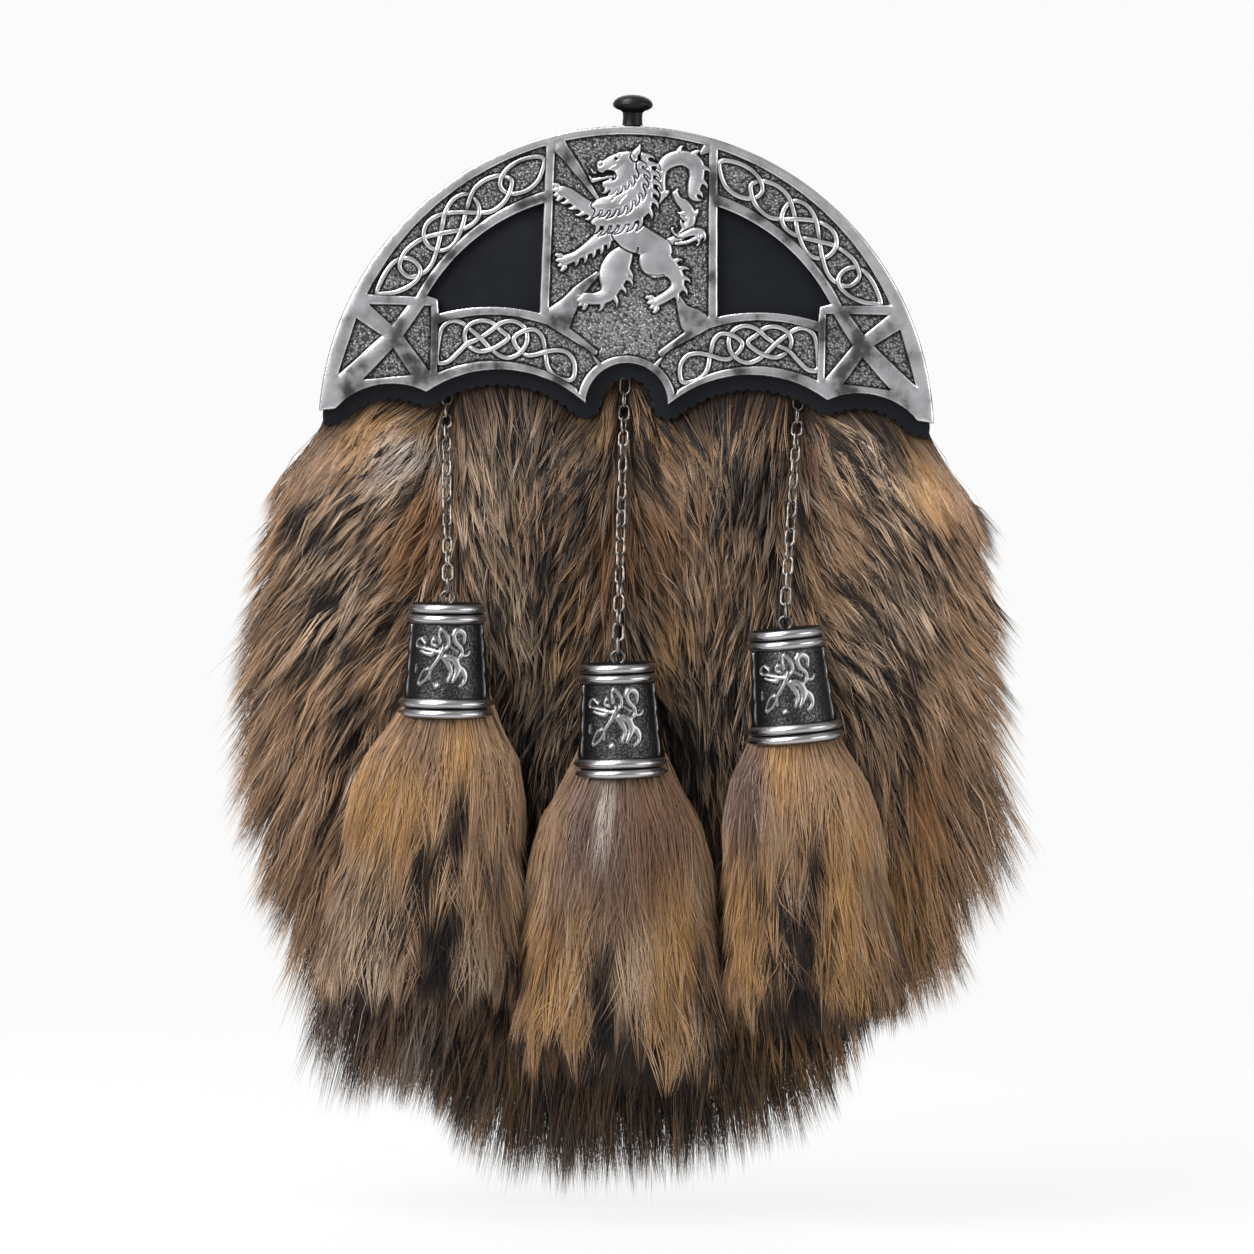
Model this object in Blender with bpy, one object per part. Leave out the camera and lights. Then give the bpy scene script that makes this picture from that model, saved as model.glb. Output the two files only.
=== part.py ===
"""Fur sporran pouch with a pierced and cast cantle, three chains, three tassel cones and three fur tassels.

Sizes are in millimetres and become metres as each mesh is made. +Z is up, the front faces -Y and +X is
the viewer's right. The origin lies midway between the two strap loops on the back.
"""
import math
import random

import bmesh
import bpy
from mathutils import Matrix, Vector
from mathutils.geometry import delaunay_2d_cdt

MM = 0.001
GAP = 0.3                      # clearance between pieces that touch
FLAT_ANGLE = 0.002             # triangles nearer than this to one plane become one face

# Leather body
LEATHER = 2.0
LOOP_SLOT = 5.2                # depth of the strap slot in each loop
BACK_FACE = -LOOP_SLOT / 2 - 0.6
MOUTH = 16.0                   # front to back inside the open mouth
BELLY = 9.0                    # how far the front wall bulges past the mouth, at its edge
CROWN = 4.0                    # further bulge of the front wall along its middle
SWELL_TOP = -35.0              # height where the bulge begins
BODY_HALF = 86.0               # half-width of the leather body
BODY_WIDEST = -100.0           # height of its widest level
BODY_BOTTOM = -203.0
BODY_UPPER = 206.0             # semi-axis of the upper flank's ellipse
BODY_LOWER_POWER = 2.4
BODY_ROWS = 8
WALL_COLUMNS = 4

# Cantle: the metal plate across the top
CANTLE_RADIUS = 83.0
CANTLE_CENTRE = -36.3
CANTLE_END = -31.6             # height of its lower corners
RIM_RADIUS = 78.1              # inner edge of its raised rim
RIM_CENTRE = -33.7
GROUND, STRAND, BAR, FIGURE = 1.4, 2.2, 2.7, 3.2   # heights of the relief over the back of the plate
KNOT_HALF = 0.55               # half-width of a knot's strand
STRUT_HALF = 0.9               # half-width of the bar beside the arch
TIP_X, TIP_Z = 54.0, -26.0     # outer point of the scalloped lower edge
ARCH_RADIUS, ARCH_CENTRE = 11.0, -28.1

# Backing: the pinked leather behind the cantle
BACKING_DROP = 4.2             # how far it shows below the cantle
PINK = 3.6                     # pitch of its pinked edge
PINK_DEPTH = 0.8

# Strap loops
LOOP_X = 42.0                  # centre of each loop
LOOP_WIDTH = 20.0
LOOP_GAP_HEIGHT = 30.0
LOOP_TAB = 9.0                 # stitched tab over and under each gap
GUSSET_INSET = 0.4             # how far the gusset lies inside the walls' edge

# Pelt and its locks
SKIN = 3.0
FUR_TOP = -8.0                 # upper edge of the pelt, tucked under the backing
FUR_BELLY = 2.0                # extra pile over the middle of the pelt
LOCK_TOP = -40.0               # no lock starts higher than this, clear of the backing
LOCK_SIDES = 3
LOCK_SINK = 6.0                # how deep a lock of the edge starts in the pelt
LOCK_ARCH = 2.1                # how far a lock bows forward
# Rings of a lock: share of its length and of its width.
LOCK_RINGS = [
    dict(along=0.0, wide=0.75),
    dict(along=0.4, wide=1.0),
    dict(along=0.75, wide=0.7),
]
EDGE_LOCK_WIDTHS, EDGE_LOCK_DEPTH = (7.5, 9.0), 3.2
EDGE_LOCK_ROOT = 9.0           # how far inside the leather's edge such a lock starts
FACE_LOCK_WIDTH, FACE_LOCK_DEPTH = 8.0, 2.6
FACE_LOCK_ROOT, FACE_LOCK_TIP = 3.4, 5.6   # how far its root and its tip stand before the front wall
FACE_ROWS, FACE_COLUMNS = 4, 7
FACE_ROW_PITCH, FACE_COLUMN_PITCH = 42.0, 23.0
FACE_ROW_TOP = -43.0
FACE_LOCK_LENGTH = 36.0
FUR_THINNING = 0.5             # share of the triangles that the joined locks keep
SLOT_HALF = 3.1                # half-width of the parting behind each chain's upper end
SLOT_RISE, SLOT_DROP = 4.1, 21.3

# Locks round the pelt's edge. around runs from the left corner of the cantle (0) by way of the
# bottom (0.5) to the right corner (1); out is how far the tips stand past the leather.
FRINGE = [
    dict(around=0.00, out=7.0, down=26.0),
    dict(around=0.12, out=12.0, down=30.0),
    dict(around=0.25, out=18.0, down=32.0),
    dict(around=0.36, out=22.0, down=34.0),
    dict(around=0.43, out=26.0, down=30.0),
    dict(around=0.50, out=36.0, down=22.0),
    dict(around=0.57, out=27.0, down=24.0),
    dict(around=0.66, out=22.0, down=28.0),
    dict(around=0.78, out=21.0, down=32.0),
    dict(around=0.90, out=13.0, down=30.0),
    dict(around=1.00, out=8.0, down=26.0),
]
FRINGE_LOCKS = 30

# Chains
LINK_PITCH = 4.75
LINK_LENGTH, LINK_WIDTH, LINK_WIRE = LINK_PITCH + 1.35, 3.8, 0.85
LINK_TWIST = 45.0              # turn of the links half-way down a chain
LINK_SIDES, WIRE_SIDES = 10, 5
EYE_RADIUS, EYE_WIRE, EYE_SINK = 1.75, 0.9, 0.4
PIN_RADIUS, PIN_LENGTH = 0.55, 2.6
PIN_SINK = 1.5                 # from the backing's back face to the middle of the top link

# Tassel cones
CONE_HEIGHT = 30.5
CONE_TOP, CONE_FOOT = 10.1, 12.8
CONE_WALL = 1.2
CONE_CEILING = 2.2             # where the bore ends under the top
CONE_SIDES = 10

# Outline of a cone's rings: how far each corner stands outside the top's or foot's radius, and its
# distance down from the top or up from the foot.
CONE_TOP_RINGS = [
    dict(out=-1.2, down=0.0),
    dict(out=0.0, down=1.3),
    dict(out=-0.6, down=2.6),
    dict(out=0.1, down=4.0),
    dict(out=-0.6, down=5.2),
]
CONE_FOOT_RINGS = [
    dict(out=-1.4, up=5.4),
    dict(out=-0.5, up=4.0),
    dict(out=-0.7, up=2.8),
    dict(out=0.0, up=1.4),
    dict(out=-0.5, up=0.0),
]

# Stud on top, and the tang under it behind the cantle's rim
STUD_HEAD, STUD_NECK = 5.4, 2.7
STUD_TOP = 55.3
STUD_OUTLINE = [
    dict(radius=0.0, drop=0.0),
    dict(radius=3.2, drop=0.5),
    dict(radius=5.0, drop=1.7),
    dict(radius=STUD_HEAD, drop=2.8),
    dict(radius=4.4, drop=4.0),
    dict(radius=STUD_NECK, drop=4.8),
]
TANG_HALF, TANG_THICK = 2.2, 1.4
TANG_FOOT, TANG_OVERLAP = 34.0, 1.0

# One row for each tassel: where its chain starts, where its cone's top stands, how far its
# foot leans to the right, and the tassel's half-width, lower end and drift to the right.
HANGINGS = {
    "left":   dict(chain_x=-48.6, chain_z=-24.8, cone_x=-46.7, cone_z=-81.7, lean=0.6,
                   half=25.5, end=-194.0, drift=-7.5),
    "center": dict(chain_x=-0.6, chain_z=-21.0, cone_x=-0.9, cone_z=-96.7, lean=3.0,
                   half=26.5, end=-214.0, drift=0.8),
    "right":  dict(chain_x=46.3, chain_z=-24.0, cone_x=43.7, cone_z=-86.6, lean=6.5,
                   half=23.0, end=-199.0, drift=7.5),
}
CONE_AXIS = -55.5              # depth of the cones' axes
TASSEL_DEPTH = 14.0            # half-depth of a tassel
TASSEL_SIDES = 10
TASSEL_LOCKS = 9
TASSEL_LOCK_WIDTH, TASSEL_LOCK_DEPTH = 7.5, 5.0
TASSEL_LOCK_FROM = 0.62        # share of the way down where the locks start
TASSEL_LOCK_SPREAD = 0.62      # how far out their tips stand, as a share of the half-width
TASSEL_RAGGED = 0.08           # share of the length by which their ends differ
NECK_UPS = (24.0, -1.6)        # top and foot of a tassel's neck, over the cone's foot
NECK_GAP = 0.45                # between the neck and the cone's bore
# Rings of a tassel's head, as shares of the way down and of its half-width.
TASSEL_RINGS = [
    dict(down=0.05, wide=0.52),
    dict(down=0.20, wide=0.74),
    dict(down=0.45, wide=0.94),
    dict(down=0.68, wide=0.98),
    dict(down=0.86, wide=0.80),
]

BLACK = (0.018, 0.018, 0.022)
PEWTER = (0.42, 0.42, 0.44)
DARK_METAL = (0.10, 0.09, 0.09)
FUR = (0.30, 0.19, 0.10)
TASSEL_FUR = (0.36, 0.22, 0.11)


# ---------------------------------------------------------------- depth of each layer

MOUTH_FRONT = BACK_FACE - LEATHER - MOUTH           # inner face of the front wall at the mouth
PANEL_FACE = MOUTH_FRONT - LEATHER                  # outer face of the front wall at the mouth
BACKING_BACK = PANEL_FACE - GAP - SKIN - GAP
CANTLE_BACK = BACKING_BACK - LEATHER - GAP


def clear_scene():
    for item in list(bpy.data.objects):
        bpy.data.objects.remove(item, do_unlink=True)


def material(name, colour, roughness, metallic):
    made = bpy.data.materials.new(name)
    made.use_nodes = True
    shader = made.node_tree.nodes["Principled BSDF"]
    shader.inputs["Base Color"].default_value = (*colour, 1.0)
    shader.inputs["Roughness"].default_value = roughness
    shader.inputs["Metallic"].default_value = metallic
    made.diffuse_color = (*colour, 1.0)
    return made


def add_piece(name, mesh, finish, smooth_angle=None):
    """Make the named object of a bmesh given in millimetres, in triangles."""
    bmesh.ops.triangulate(mesh, faces=mesh.faces)
    bmesh.ops.scale(mesh, vec=(MM, MM, MM), verts=mesh.verts)
    data = bpy.data.meshes.new(name)
    mesh.to_mesh(data)
    mesh.free()
    piece = bpy.data.objects.new(name, data)
    bpy.context.scene.collection.objects.link(piece)
    data.materials.append(material(name, *finish))
    if smooth_angle:
        data.shade_smooth()
        data.set_sharp_from_angle(angle=math.radians(smooth_angle))
    return piece


# ---------------------------------------------------------------- curves

def turns(count, shift=0.0):
    """Angles of a full turn in equal steps."""
    return [math.tau * (i + shift) / count for i in range(count)]


def arc_through(start, middle, end, steps):
    """Points of the circular arc from start to end by way of middle."""
    (ax, az), (bx, bz), (cx, cz) = start, middle, end
    twice = 2 * (ax * (bz - cz) + bx * (cz - az) + cx * (az - bz))
    a, b, c = ax * ax + az * az, bx * bx + bz * bz, cx * cx + cz * cz
    ox = (a * (bz - cz) + b * (cz - az) + c * (az - bz)) / twice
    oz = (a * (cx - bx) + b * (ax - cx) + c * (bx - ax)) / twice
    radius = math.hypot(ax - ox, az - oz)
    first, mid, last = (math.atan2(z - oz, x - ox) for x, z in (start, middle, end))
    turn = (last - first) % math.tau
    if (mid - first) % math.tau > turn:
        turn -= math.tau
    return [(ox + radius * math.cos(first + turn * i / steps),
             oz + radius * math.sin(first + turn * i / steps)) for i in range(steps + 1)]


def smooth_curve(points, steps, closed=False):
    """Catmull-Rom curve through points of any number of coordinates."""
    count = len(points)
    spans = count if closed else count - 1
    found = []
    for i in range(spans):
        ring = [points[(i + k) % count] if closed else points[min(max(i + k, 0), count - 1)]
                for k in (-1, 0, 1, 2)]
        for step in range(steps):
            t = step / steps
            found.append(tuple(
                0.5 * (2 * b + (c - a) * t + (2 * a - 5 * b + 4 * c - d) * t * t
                       + (3 * b - a - 3 * c + d) * t ** 3)
                for a, b, c, d in zip(*ring)))
    return found if closed else found + [tuple(points[-1])]


def mirrored(points):
    return [(-x, z) for x, z in reversed(points)]


# ---------------------------------------------------------------- relief plates

def ribbon(path, half_width, closed=False):
    """A band along a path: its two edges, and the cells that fill it."""
    count = len(path)
    left, right = [], []
    for i, point in enumerate(path):
        before = path[i - 1] if closed or i else path[i]
        after = path[(i + 1) % count] if closed or i < count - 1 else path[i]
        dx, dz = after[0] - before[0], after[1] - before[1]
        size = math.hypot(dx, dz) or 1.0
        half = point[2] if len(point) > 2 else half_width
        left.append((point[0] - dz / size * half, point[1] + dx / size * half))
        right.append((point[0] + dz / size * half, point[1] - dx / size * half))
    spans = count if closed else count - 1
    cells = [[left[i], left[(i + 1) % count], right[(i + 1) % count], right[i]] for i in range(spans)]
    loops = [left, right] if closed else [left + right[::-1]]
    return loops, cells


def limb(rows, steps, fringe=0.0):
    """A tapered band with pointed ends, through rows of x, z and half-width."""
    path = smooth_curve(rows, steps)
    first, last = path[0], path[-1]
    path = [(first[0], first[1], first[2] * 0.75)] + path[1:-1] + [(last[0], last[1], last[2] * 0.6)]
    path = [point if i % 2 else (point[0], point[1], point[2] * (1 + fringe))
            for i, point in enumerate(path)]
    return ribbon(path, 0)


def polygon(points):
    return [points], [points]


def holds(cell, x, z):
    inside = False
    for i, (ax, az) in enumerate(cell):
        bx, bz = cell[i - 1]
        if (az > z) != (bz > z) and x < (bx - ax) * (z - az) / (bz - az) + ax:
            inside = not inside
    return inside


def triangulate(loops):
    """Constrained triangles over closed loops of points."""
    points, edges = [], []
    for loop in loops:
        base = len(points)
        points.extend(Vector(point) for point in loop)
        edges.extend((base + i, base + (i + 1) % len(loop)) for i in range(len(loop)))
    corners, _, faces, *_ = delaunay_2d_cdt(points, edges, [], 0, 0.02)
    return [(corner.x, corner.y) for corner in corners], [tuple(face) for face in faces]


def plate(outline, holes, layers, full, back):
    """Closed plate in the XZ plane, its back at depth back and its front in steps.

    A layer is a height with the loops and cells of its shapes, and each layer covers those before it.
    """
    loops = [outline, *holes] + [loop for _, shapes in layers for found, _ in shapes for loop in found]
    corners, faces = triangulate(loops)
    solid = {}
    for face in faces:
        x = sum(corners[i][0] for i in face) / 3
        z = sum(corners[i][1] for i in face) / 3
        if not holds(outline, x, z) or any(holds(hole, x, z) for hole in holes):
            continue
        height = full
        for level, shapes in layers:
            if any(holds(cell, x, z) for _, cells in shapes for cell in cells):
                height = level
        solid[face] = height
    levels, beside = {}, {}
    for face, height in solid.items():
        for k, corner in enumerate(face):
            levels.setdefault(corner, set()).add(height)
            beside.setdefault(frozenset((corner, face[k - 1])), []).append(face)
    mesh = bmesh.new()
    made = {}

    def vert(corner, height):
        if (corner, height) not in made:
            made[corner, height] = mesh.verts.new((corners[corner][0], back - height, corners[corner][1]))
        return made[corner, height]

    def wall(a, b, low, high):
        """Strip of triangles between the vertical lines at corners a and b."""
        columns = [[low] + sorted(h for h in levels[c] if low < h < high) + [high] for c in (a, b)]
        i = j = 0
        while i + j < len(columns[0]) + len(columns[1]) - 2:
            at_a, at_b = columns[0], columns[1]
            step_a = j == len(at_b) - 1 or (i < len(at_a) - 1 and at_a[i + 1] <= at_b[j + 1])
            ring = [vert(a, at_a[i]), vert(b, at_b[j])]
            if step_a:
                i += 1
                ring.append(vert(a, at_a[i]))
            else:
                j += 1
                ring.append(vert(b, at_b[j]))
            mesh.faces.new(ring)

    for face, height in solid.items():
        mesh.faces.new([vert(corner, height) for corner in face])
    for pair, faces_here in beside.items():
        a, b = pair
        if len(faces_here) == 2:
            low, high = sorted(solid[face] for face in faces_here)
            if low < high:
                wall(a, b, low, high)
        else:
            wall(a, b, 0.0, solid[faces_here[0]])
    keys = {(round(x, 3), round(z, 3)): i for i, (x, z) in enumerate(corners)}
    rear_corners, rear_faces = triangulate([outline, *holes])
    for face in rear_faces:
        x = sum(rear_corners[i][0] for i in face) / 3
        z = sum(rear_corners[i][1] for i in face) / 3
        if holds(outline, x, z) and not any(holds(hole, x, z) for hole in holes):
            ring = [keys[round(rear_corners[i][0], 3), round(rear_corners[i][1], 3)] for i in face]
            mesh.faces.new([vert(corner, 0.0) for corner in ring])
    bmesh.ops.recalc_face_normals(mesh, faces=mesh.faces)
    return mesh


# ---------------------------------------------------------------- cantle

def scalloped_edge(drop, spread, steps):
    """Right half of the lower edge, from the corner to the middle, moved down by drop."""
    corner = (CANTLE_RADIUS - 4.6 + spread, CANTLE_END + 0.6 - drop)
    tip = (TIP_X, TIP_Z - drop)
    arch = ARCH_RADIUS - spread
    foot = (arch + 0.9, ARCH_CENTRE + 0.6 - drop)
    outer = arc_through(corner, (66.5, -24.3 - drop), tip, steps)
    middle = arc_through(tip, (34.0, -19.6 - drop), foot, steps + 2)
    inner = [(arch * math.cos(math.pi / 2 * i / steps),
              ARCH_CENTRE - drop + arch * math.sin(math.pi / 2 * i / steps)) for i in range(steps + 1)]
    return outer + middle[1:] + inner


def disc_arc(radius, centre, start_x, end_x, steps):
    """Top arc of a circle centred at height centre, from start_x to end_x."""
    first, last = (math.acos(x / radius) for x in (start_x, end_x))
    return [(radius * math.cos(first + (last - first) * i / steps),
             centre + radius * math.sin(first + (last - first) * i / steps)) for i in range(steps + 1)]


def cantle_outline():
    half = scalloped_edge(0.0, 0.0, 4)
    rise = CANTLE_END - CANTLE_CENTRE
    corner = math.sqrt(CANTLE_RADIUS ** 2 - rise ** 2)
    top = disc_arc(CANTLE_RADIUS, CANTLE_CENTRE, -corner, corner, 18)
    return top + half + mirrored(half)[1:]


def upper_panel():
    """Recess over the right window, which holds the long knot."""
    rim = disc_arc(RIM_RADIUS, RIM_CENTRE, 23.2, 70.4, 6)
    return rim + arc_through((57.5, -0.3), (44.0, 17.0), (23.4, 28.8), 5)


def lower_panel():
    """Recess under the right window, which holds the short knot."""
    top = arc_through((51.1, -7.6), (37.5, -4.9), (22.0, -7.3), 4)
    ring = ARCH_RADIUS + 2.4
    bend = [(ring * math.cos(a), ARCH_CENTRE + ring * math.sin(a)) for a in (0.9, 0.55, 0.22)]
    low = arc_through((13.6, -24.0), (34.0, -17.1), (51.1, -20.6), 6)
    return top + [(10.5, -13.9)] + bend + low


def shield():
    ring = ARCH_RADIUS + 2.2
    top = disc_arc(RIM_RADIUS, RIM_CENTRE, -20.6, 20.6, 6)
    bend = [(ring * math.cos(a), ARCH_CENTRE + ring * math.sin(a)) for a in (1.0, 1.3, 1.57)]
    side = [(21.4, -4.2), (10.0, -14.2)] + bend
    return top + side + mirrored(side)[1:]


def window():
    """Right opening, through which the leather shows."""
    low = arc_through((51.0, -4.7), (37.5, -2.6), (24.0, -4.0), 4)
    roof = arc_through((23.4, 25.5), (41.7, 15.4), (54.3, 0.0), 5)
    return roof + [(51.4, -0.9)] + low


def saltire_triangles():
    return [
        [(69.8, -2.7), (59.6, -2.7), (63.6, -8.0)],
        [(73.2, -6.6), (66.4, -11.0), (77.8, -21.6)],
        [(55.0, -2.8), (53.3, -2.8), (53.3, -20.1), (60.4, -11.0)],
        [(63.2, -14.4), (58.4, -21.4), (70.9, -22.8)],
    ]


def oval(x, z, long, short, tilt, pointed=0.0, steps=8):
    """Closed loop of a knot, an ellipse drawn out to a point at its positive end."""
    turn = math.radians(tilt)
    found = []
    for a in turns(steps):
        u = long * math.cos(a)
        v = short * math.sin(a) * (1 - pointed * max(math.cos(a), 0.0))
        found.append((x + u * math.cos(turn) - v * math.sin(turn),
                      z + u * math.sin(turn) + v * math.cos(turn)))
    return found


# Loops of the two knots in the right half of the cantle.
UPPER_KNOT = [
    dict(x=30.4, z=33.0, long=8.4, short=3.4, tilt=148, pointed=-0.3),
    dict(x=45.0, z=21.6, long=9.0, short=3.4, tilt=112, pointed=0.0),
    dict(x=45.0, z=21.6, long=9.0, short=3.4, tilt=154, pointed=0.0),
    dict(x=58.8, z=7.8, long=9.0, short=3.6, tilt=-54, pointed=0.4),
]
LOWER_KNOT = [
    dict(x=44.6, z=-12.7, long=5.8, short=4.4, tilt=0, pointed=0.3),
    dict(x=34.0, z=-10.8, long=7.4, short=3.6, tilt=14, pointed=0.0),
    dict(x=20.6, z=-15.0, long=8.0, short=3.2, tilt=30, pointed=-0.3),
]

# Lion rampant: each limb's columns are x, z and half-width.
LION = [
    [(-1.0, 36.8, 3.4), (-5.0, 36.3, 2.7), (-8.9, 35.8, 1.2)],
    [(-2.7, 33.2, 2.5), (-5.4, 31.6, 1.7), (-10.7, 32.1, 0.7)],
    [(0.9, 38.2, 1.4), (2.1, 41.0, 0.4)],
    [(0.2, 36.8, 3.0), (2.5, 32.8, 3.1), (2.2, 27.8, 3.5), (-0.5, 24.0, 4.2), (-10.2, 20.6, 1.4)],
    [(-1.2, 33.2, 3.5), (-3.6, 27.7, 3.0), (-9.8, 25.1, 1.2)],
    [(-8.5, 23.6, 2.5), (-16.1, 27.7, 2.1), (-20.0, 28.6, 1.1)],
    [(-2.9, 18.7, 3.0), (-11.3, 13.3, 2.1), (-18.9, 9.1, 1.5)],
    [(-1.0, 21.8, 4.4), (5.2, 15.4, 4.2), (6.2, 9.9, 3.9)],
    [(0.7, 12.8, 3.0), (-4.0, 7.5, 4.0), (-5.0, 1.9, 2.4), (-13.2, -0.6, 1.6)],
    [(6.3, 9.4, 3.0), (12.8, 6.6, 2.4), (12.6, 2.0, 1.8), (5.8, -1.6, 1.4)],
    [(9.7, 15.0, 1.6), (15.8, 20.6, 1.8), (12.7, 26.5, 1.5), (8.5, 33.4, 1.7), (14.2, 37.8, 2.4),
     (16.6, 32.6, 2.3), (17.6, 27.4, 0.7)],
    [(12.6, 16.0, 1.2), (16.8, 18.4, 1.3), (19.6, 17.4, 0.6)],
]
# Arms of the large saltire behind the lion, in the same columns.
SALTIRE = [
    [(-19.6, 39.4, 2.2), (-13.5, 32.8, 1.3), (-8.9, 26.6, 0.5)],
    [(-19.0, -5.6, 4.0), (-14.0, 0.6, 2.0), (-9.0, 7.4, 0.9)],
    [(17.2, -5.2, 4.0), (14.0, -2.4, 2.2), (12.0, 1.6, 1.2)],
]


def both_sides(loops):
    return loops + [mirrored(loop) for loop in loops]


def build_cantle():
    recesses = both_sides([upper_panel(), lower_panel(), *saltire_triangles()]) + [shield()]
    knots = both_sides([oval(**row) for row in UPPER_KNOT + LOWER_KNOT])
    struts = both_sides([[(21.9, -4.6), (15.5, -9.2), (8.9, -14.2)]])
    layers = [
        (GROUND, [polygon(loop) for loop in recesses]),
        (STRAND, [ribbon(loop, KNOT_HALF, closed=True) for loop in knots]),
        (BAR, [ribbon(path, STRUT_HALF) for path in struts] + [limb(rows, 2) for rows in SALTIRE]),
        (FIGURE, [limb(rows, 2, fringe=0.12) for rows in LION]),
    ]
    mesh = plate(cantle_outline(), both_sides([window()]), layers, BAR, CANTLE_BACK)
    add_piece("cantle", mesh, (PEWTER, 0.38, 1.0))


def build_backing():
    """Leather behind the cantle, cut in small teeth along its lower edge."""
    half = scalloped_edge(BACKING_DROP, 1.4, 12)
    edge = half + mirrored(half)[1:]
    spaced, walked = [edge[0]], 0.0
    for before, after in zip(edge, edge[1:]):
        length = math.dist(before, after)
        while length and walked + length >= PINK / 2:
            part = (PINK / 2 - walked) / length
            before = (before[0] + (after[0] - before[0]) * part, before[1] + (after[1] - before[1]) * part)
            spaced.append(before)
            length = math.dist(before, after)
            walked = 0.0
        walked += length
    teeth = [(x, z - (PINK_DEPTH if i % 2 else 0.0)) for i, (x, z) in enumerate(spaced)]
    top = disc_arc(CANTLE_RADIUS - 0.8, CANTLE_CENTRE, -80.6, 80.6, 24)
    mesh = plate(top + teeth[1:-1], [], [], LEATHER, BACKING_BACK)
    add_piece("backing", mesh, (BLACK, 0.5, 0.0))


def build_stud():
    """Mushroom stud on a tang that runs down behind the rim of the cantle."""
    neck_foot = CANTLE_CENTRE + CANTLE_RADIUS + GAP
    profile = [(row["radius"], STUD_TOP - row["drop"]) for row in STUD_OUTLINE]
    profile += [(STUD_NECK, neck_foot), (0.0, neck_foot)]
    depth = BACKING_BACK + LEATHER / 2
    mesh = turned(profile, 10)
    bmesh.ops.translate(mesh, verts=mesh.verts, vec=(0, depth, 0))
    tang = box_mesh((-TANG_HALF, BACKING_BACK + GAP, TANG_FOOT),
                    (TANG_HALF, BACKING_BACK + GAP + TANG_THICK, neck_foot + TANG_OVERLAP))
    stud = add_piece("top_stud", mesh, (BLACK, 0.35, 0.0), 35)
    join_solid(stud, tang)


# ---------------------------------------------------------------- solids

def turned(profile, sides):
    """Solid of revolution about Z, from a profile of radius and height that starts and ends on the axis."""
    mesh = bmesh.new()
    rings = []
    for radius, z in profile:
        if radius == 0.0:
            rings.append([mesh.verts.new((0, 0, z))])
        else:
            rings.append(level_ring(mesh, Vector((0, 0, z)), radius, radius, sides))
    skin_rings(mesh, rings)
    return mesh


def level_ring(mesh, middle, across, deep, sides):
    """Ring of vertices round a point at one height, an ellipse of these half-sizes."""
    return [mesh.verts.new(middle + Vector((across * math.cos(a), deep * math.sin(a), 0)))
            for a in turns(sides)]


def skin_rings(mesh, rings):
    """Join each ring of vertices to the next, where a single vertex is a pole."""
    for first, second in zip(rings, rings[1:]):
        count = max(len(first), len(second))
        for i in range(count):
            k = (i + 1) % count
            corners = [first[i % len(first)], first[k % len(first)],
                       second[k % len(second)], second[i % len(second)]]
            mesh.faces.new(list(dict.fromkeys(corners)))
    bmesh.ops.recalc_face_normals(mesh, faces=mesh.faces)


def box_mesh(low, high):
    mesh = bmesh.new()
    bmesh.ops.create_cube(mesh, size=1.0)
    for vert in mesh.verts:
        vert.co = Vector(low[k] if vert.co[k] < 0 else high[k] for k in range(3))
    return mesh


def combine(piece, mesh, operation):
    """Boolean of a piece with a bmesh given in millimetres."""
    tool = add_piece(piece.name + "_tool", mesh, (BLACK, 0.5, 0.0))
    cut = piece.modifiers.new(operation.lower(), "BOOLEAN")
    cut.operation = operation
    cut.object = tool
    cut.solver = "EXACT"
    bpy.context.view_layer.update()
    graph = bpy.context.evaluated_depsgraph_get()
    result = bpy.data.meshes.new_from_object(piece.evaluated_get(graph))
    piece.modifiers.clear()
    old = piece.data
    piece.data = result
    bpy.data.meshes.remove(old)
    bpy.data.objects.remove(tool, do_unlink=True)
    keep_main_shell(result)


def whole(mesh):
    """Whether every edge joins exactly two faces."""
    return all(len(edge.link_faces) == 2 for edge in mesh.edges)


def keep_main_shell(data):
    """Drop the crumbs and tiny voids that crossing surfaces leave behind, and the edges in flat faces."""
    mesh = bmesh.new()
    mesh.from_mesh(data)
    left = set(mesh.verts)
    shells = []
    while left:
        found = {left.pop()}
        edge = list(found)
        while edge:
            vert = edge.pop()
            near = {link.other_vert(vert) for link in vert.link_edges} - found
            found |= near
            edge.extend(near)
        left -= found
        shells.append(found)
    crumbs = set(mesh.verts) - max(shells, key=len)
    bmesh.ops.delete(mesh, geom=list(crumbs), context="VERTS")
    plain = mesh.copy()
    bmesh.ops.dissolve_limit(plain, angle_limit=FLAT_ANGLE, verts=plain.verts, edges=plain.edges)
    bmesh.ops.triangulate(plain, faces=plain.faces)
    kept = plain if whole(plain) else mesh
    bmesh.ops.triangulate(kept, faces=kept.faces)
    kept.to_mesh(data)
    mesh.free()
    plain.free()


def thin_out(piece, ratio):
    """Collapse the short edges that joined shapes leave, to this share of the triangles."""
    cut = piece.modifiers.new("thin", "DECIMATE")
    cut.ratio = ratio
    bpy.context.view_layer.update()
    graph = bpy.context.evaluated_depsgraph_get()
    result = bpy.data.meshes.new_from_object(piece.evaluated_get(graph))
    piece.modifiers.clear()
    old = piece.data
    piece.data = result
    bpy.data.meshes.remove(old)


def join_solid(piece, mesh):
    combine(piece, mesh, "UNION")


def cut_solid(piece, mesh):
    combine(piece, mesh, "DIFFERENCE")


# ---------------------------------------------------------------- leather body

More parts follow.
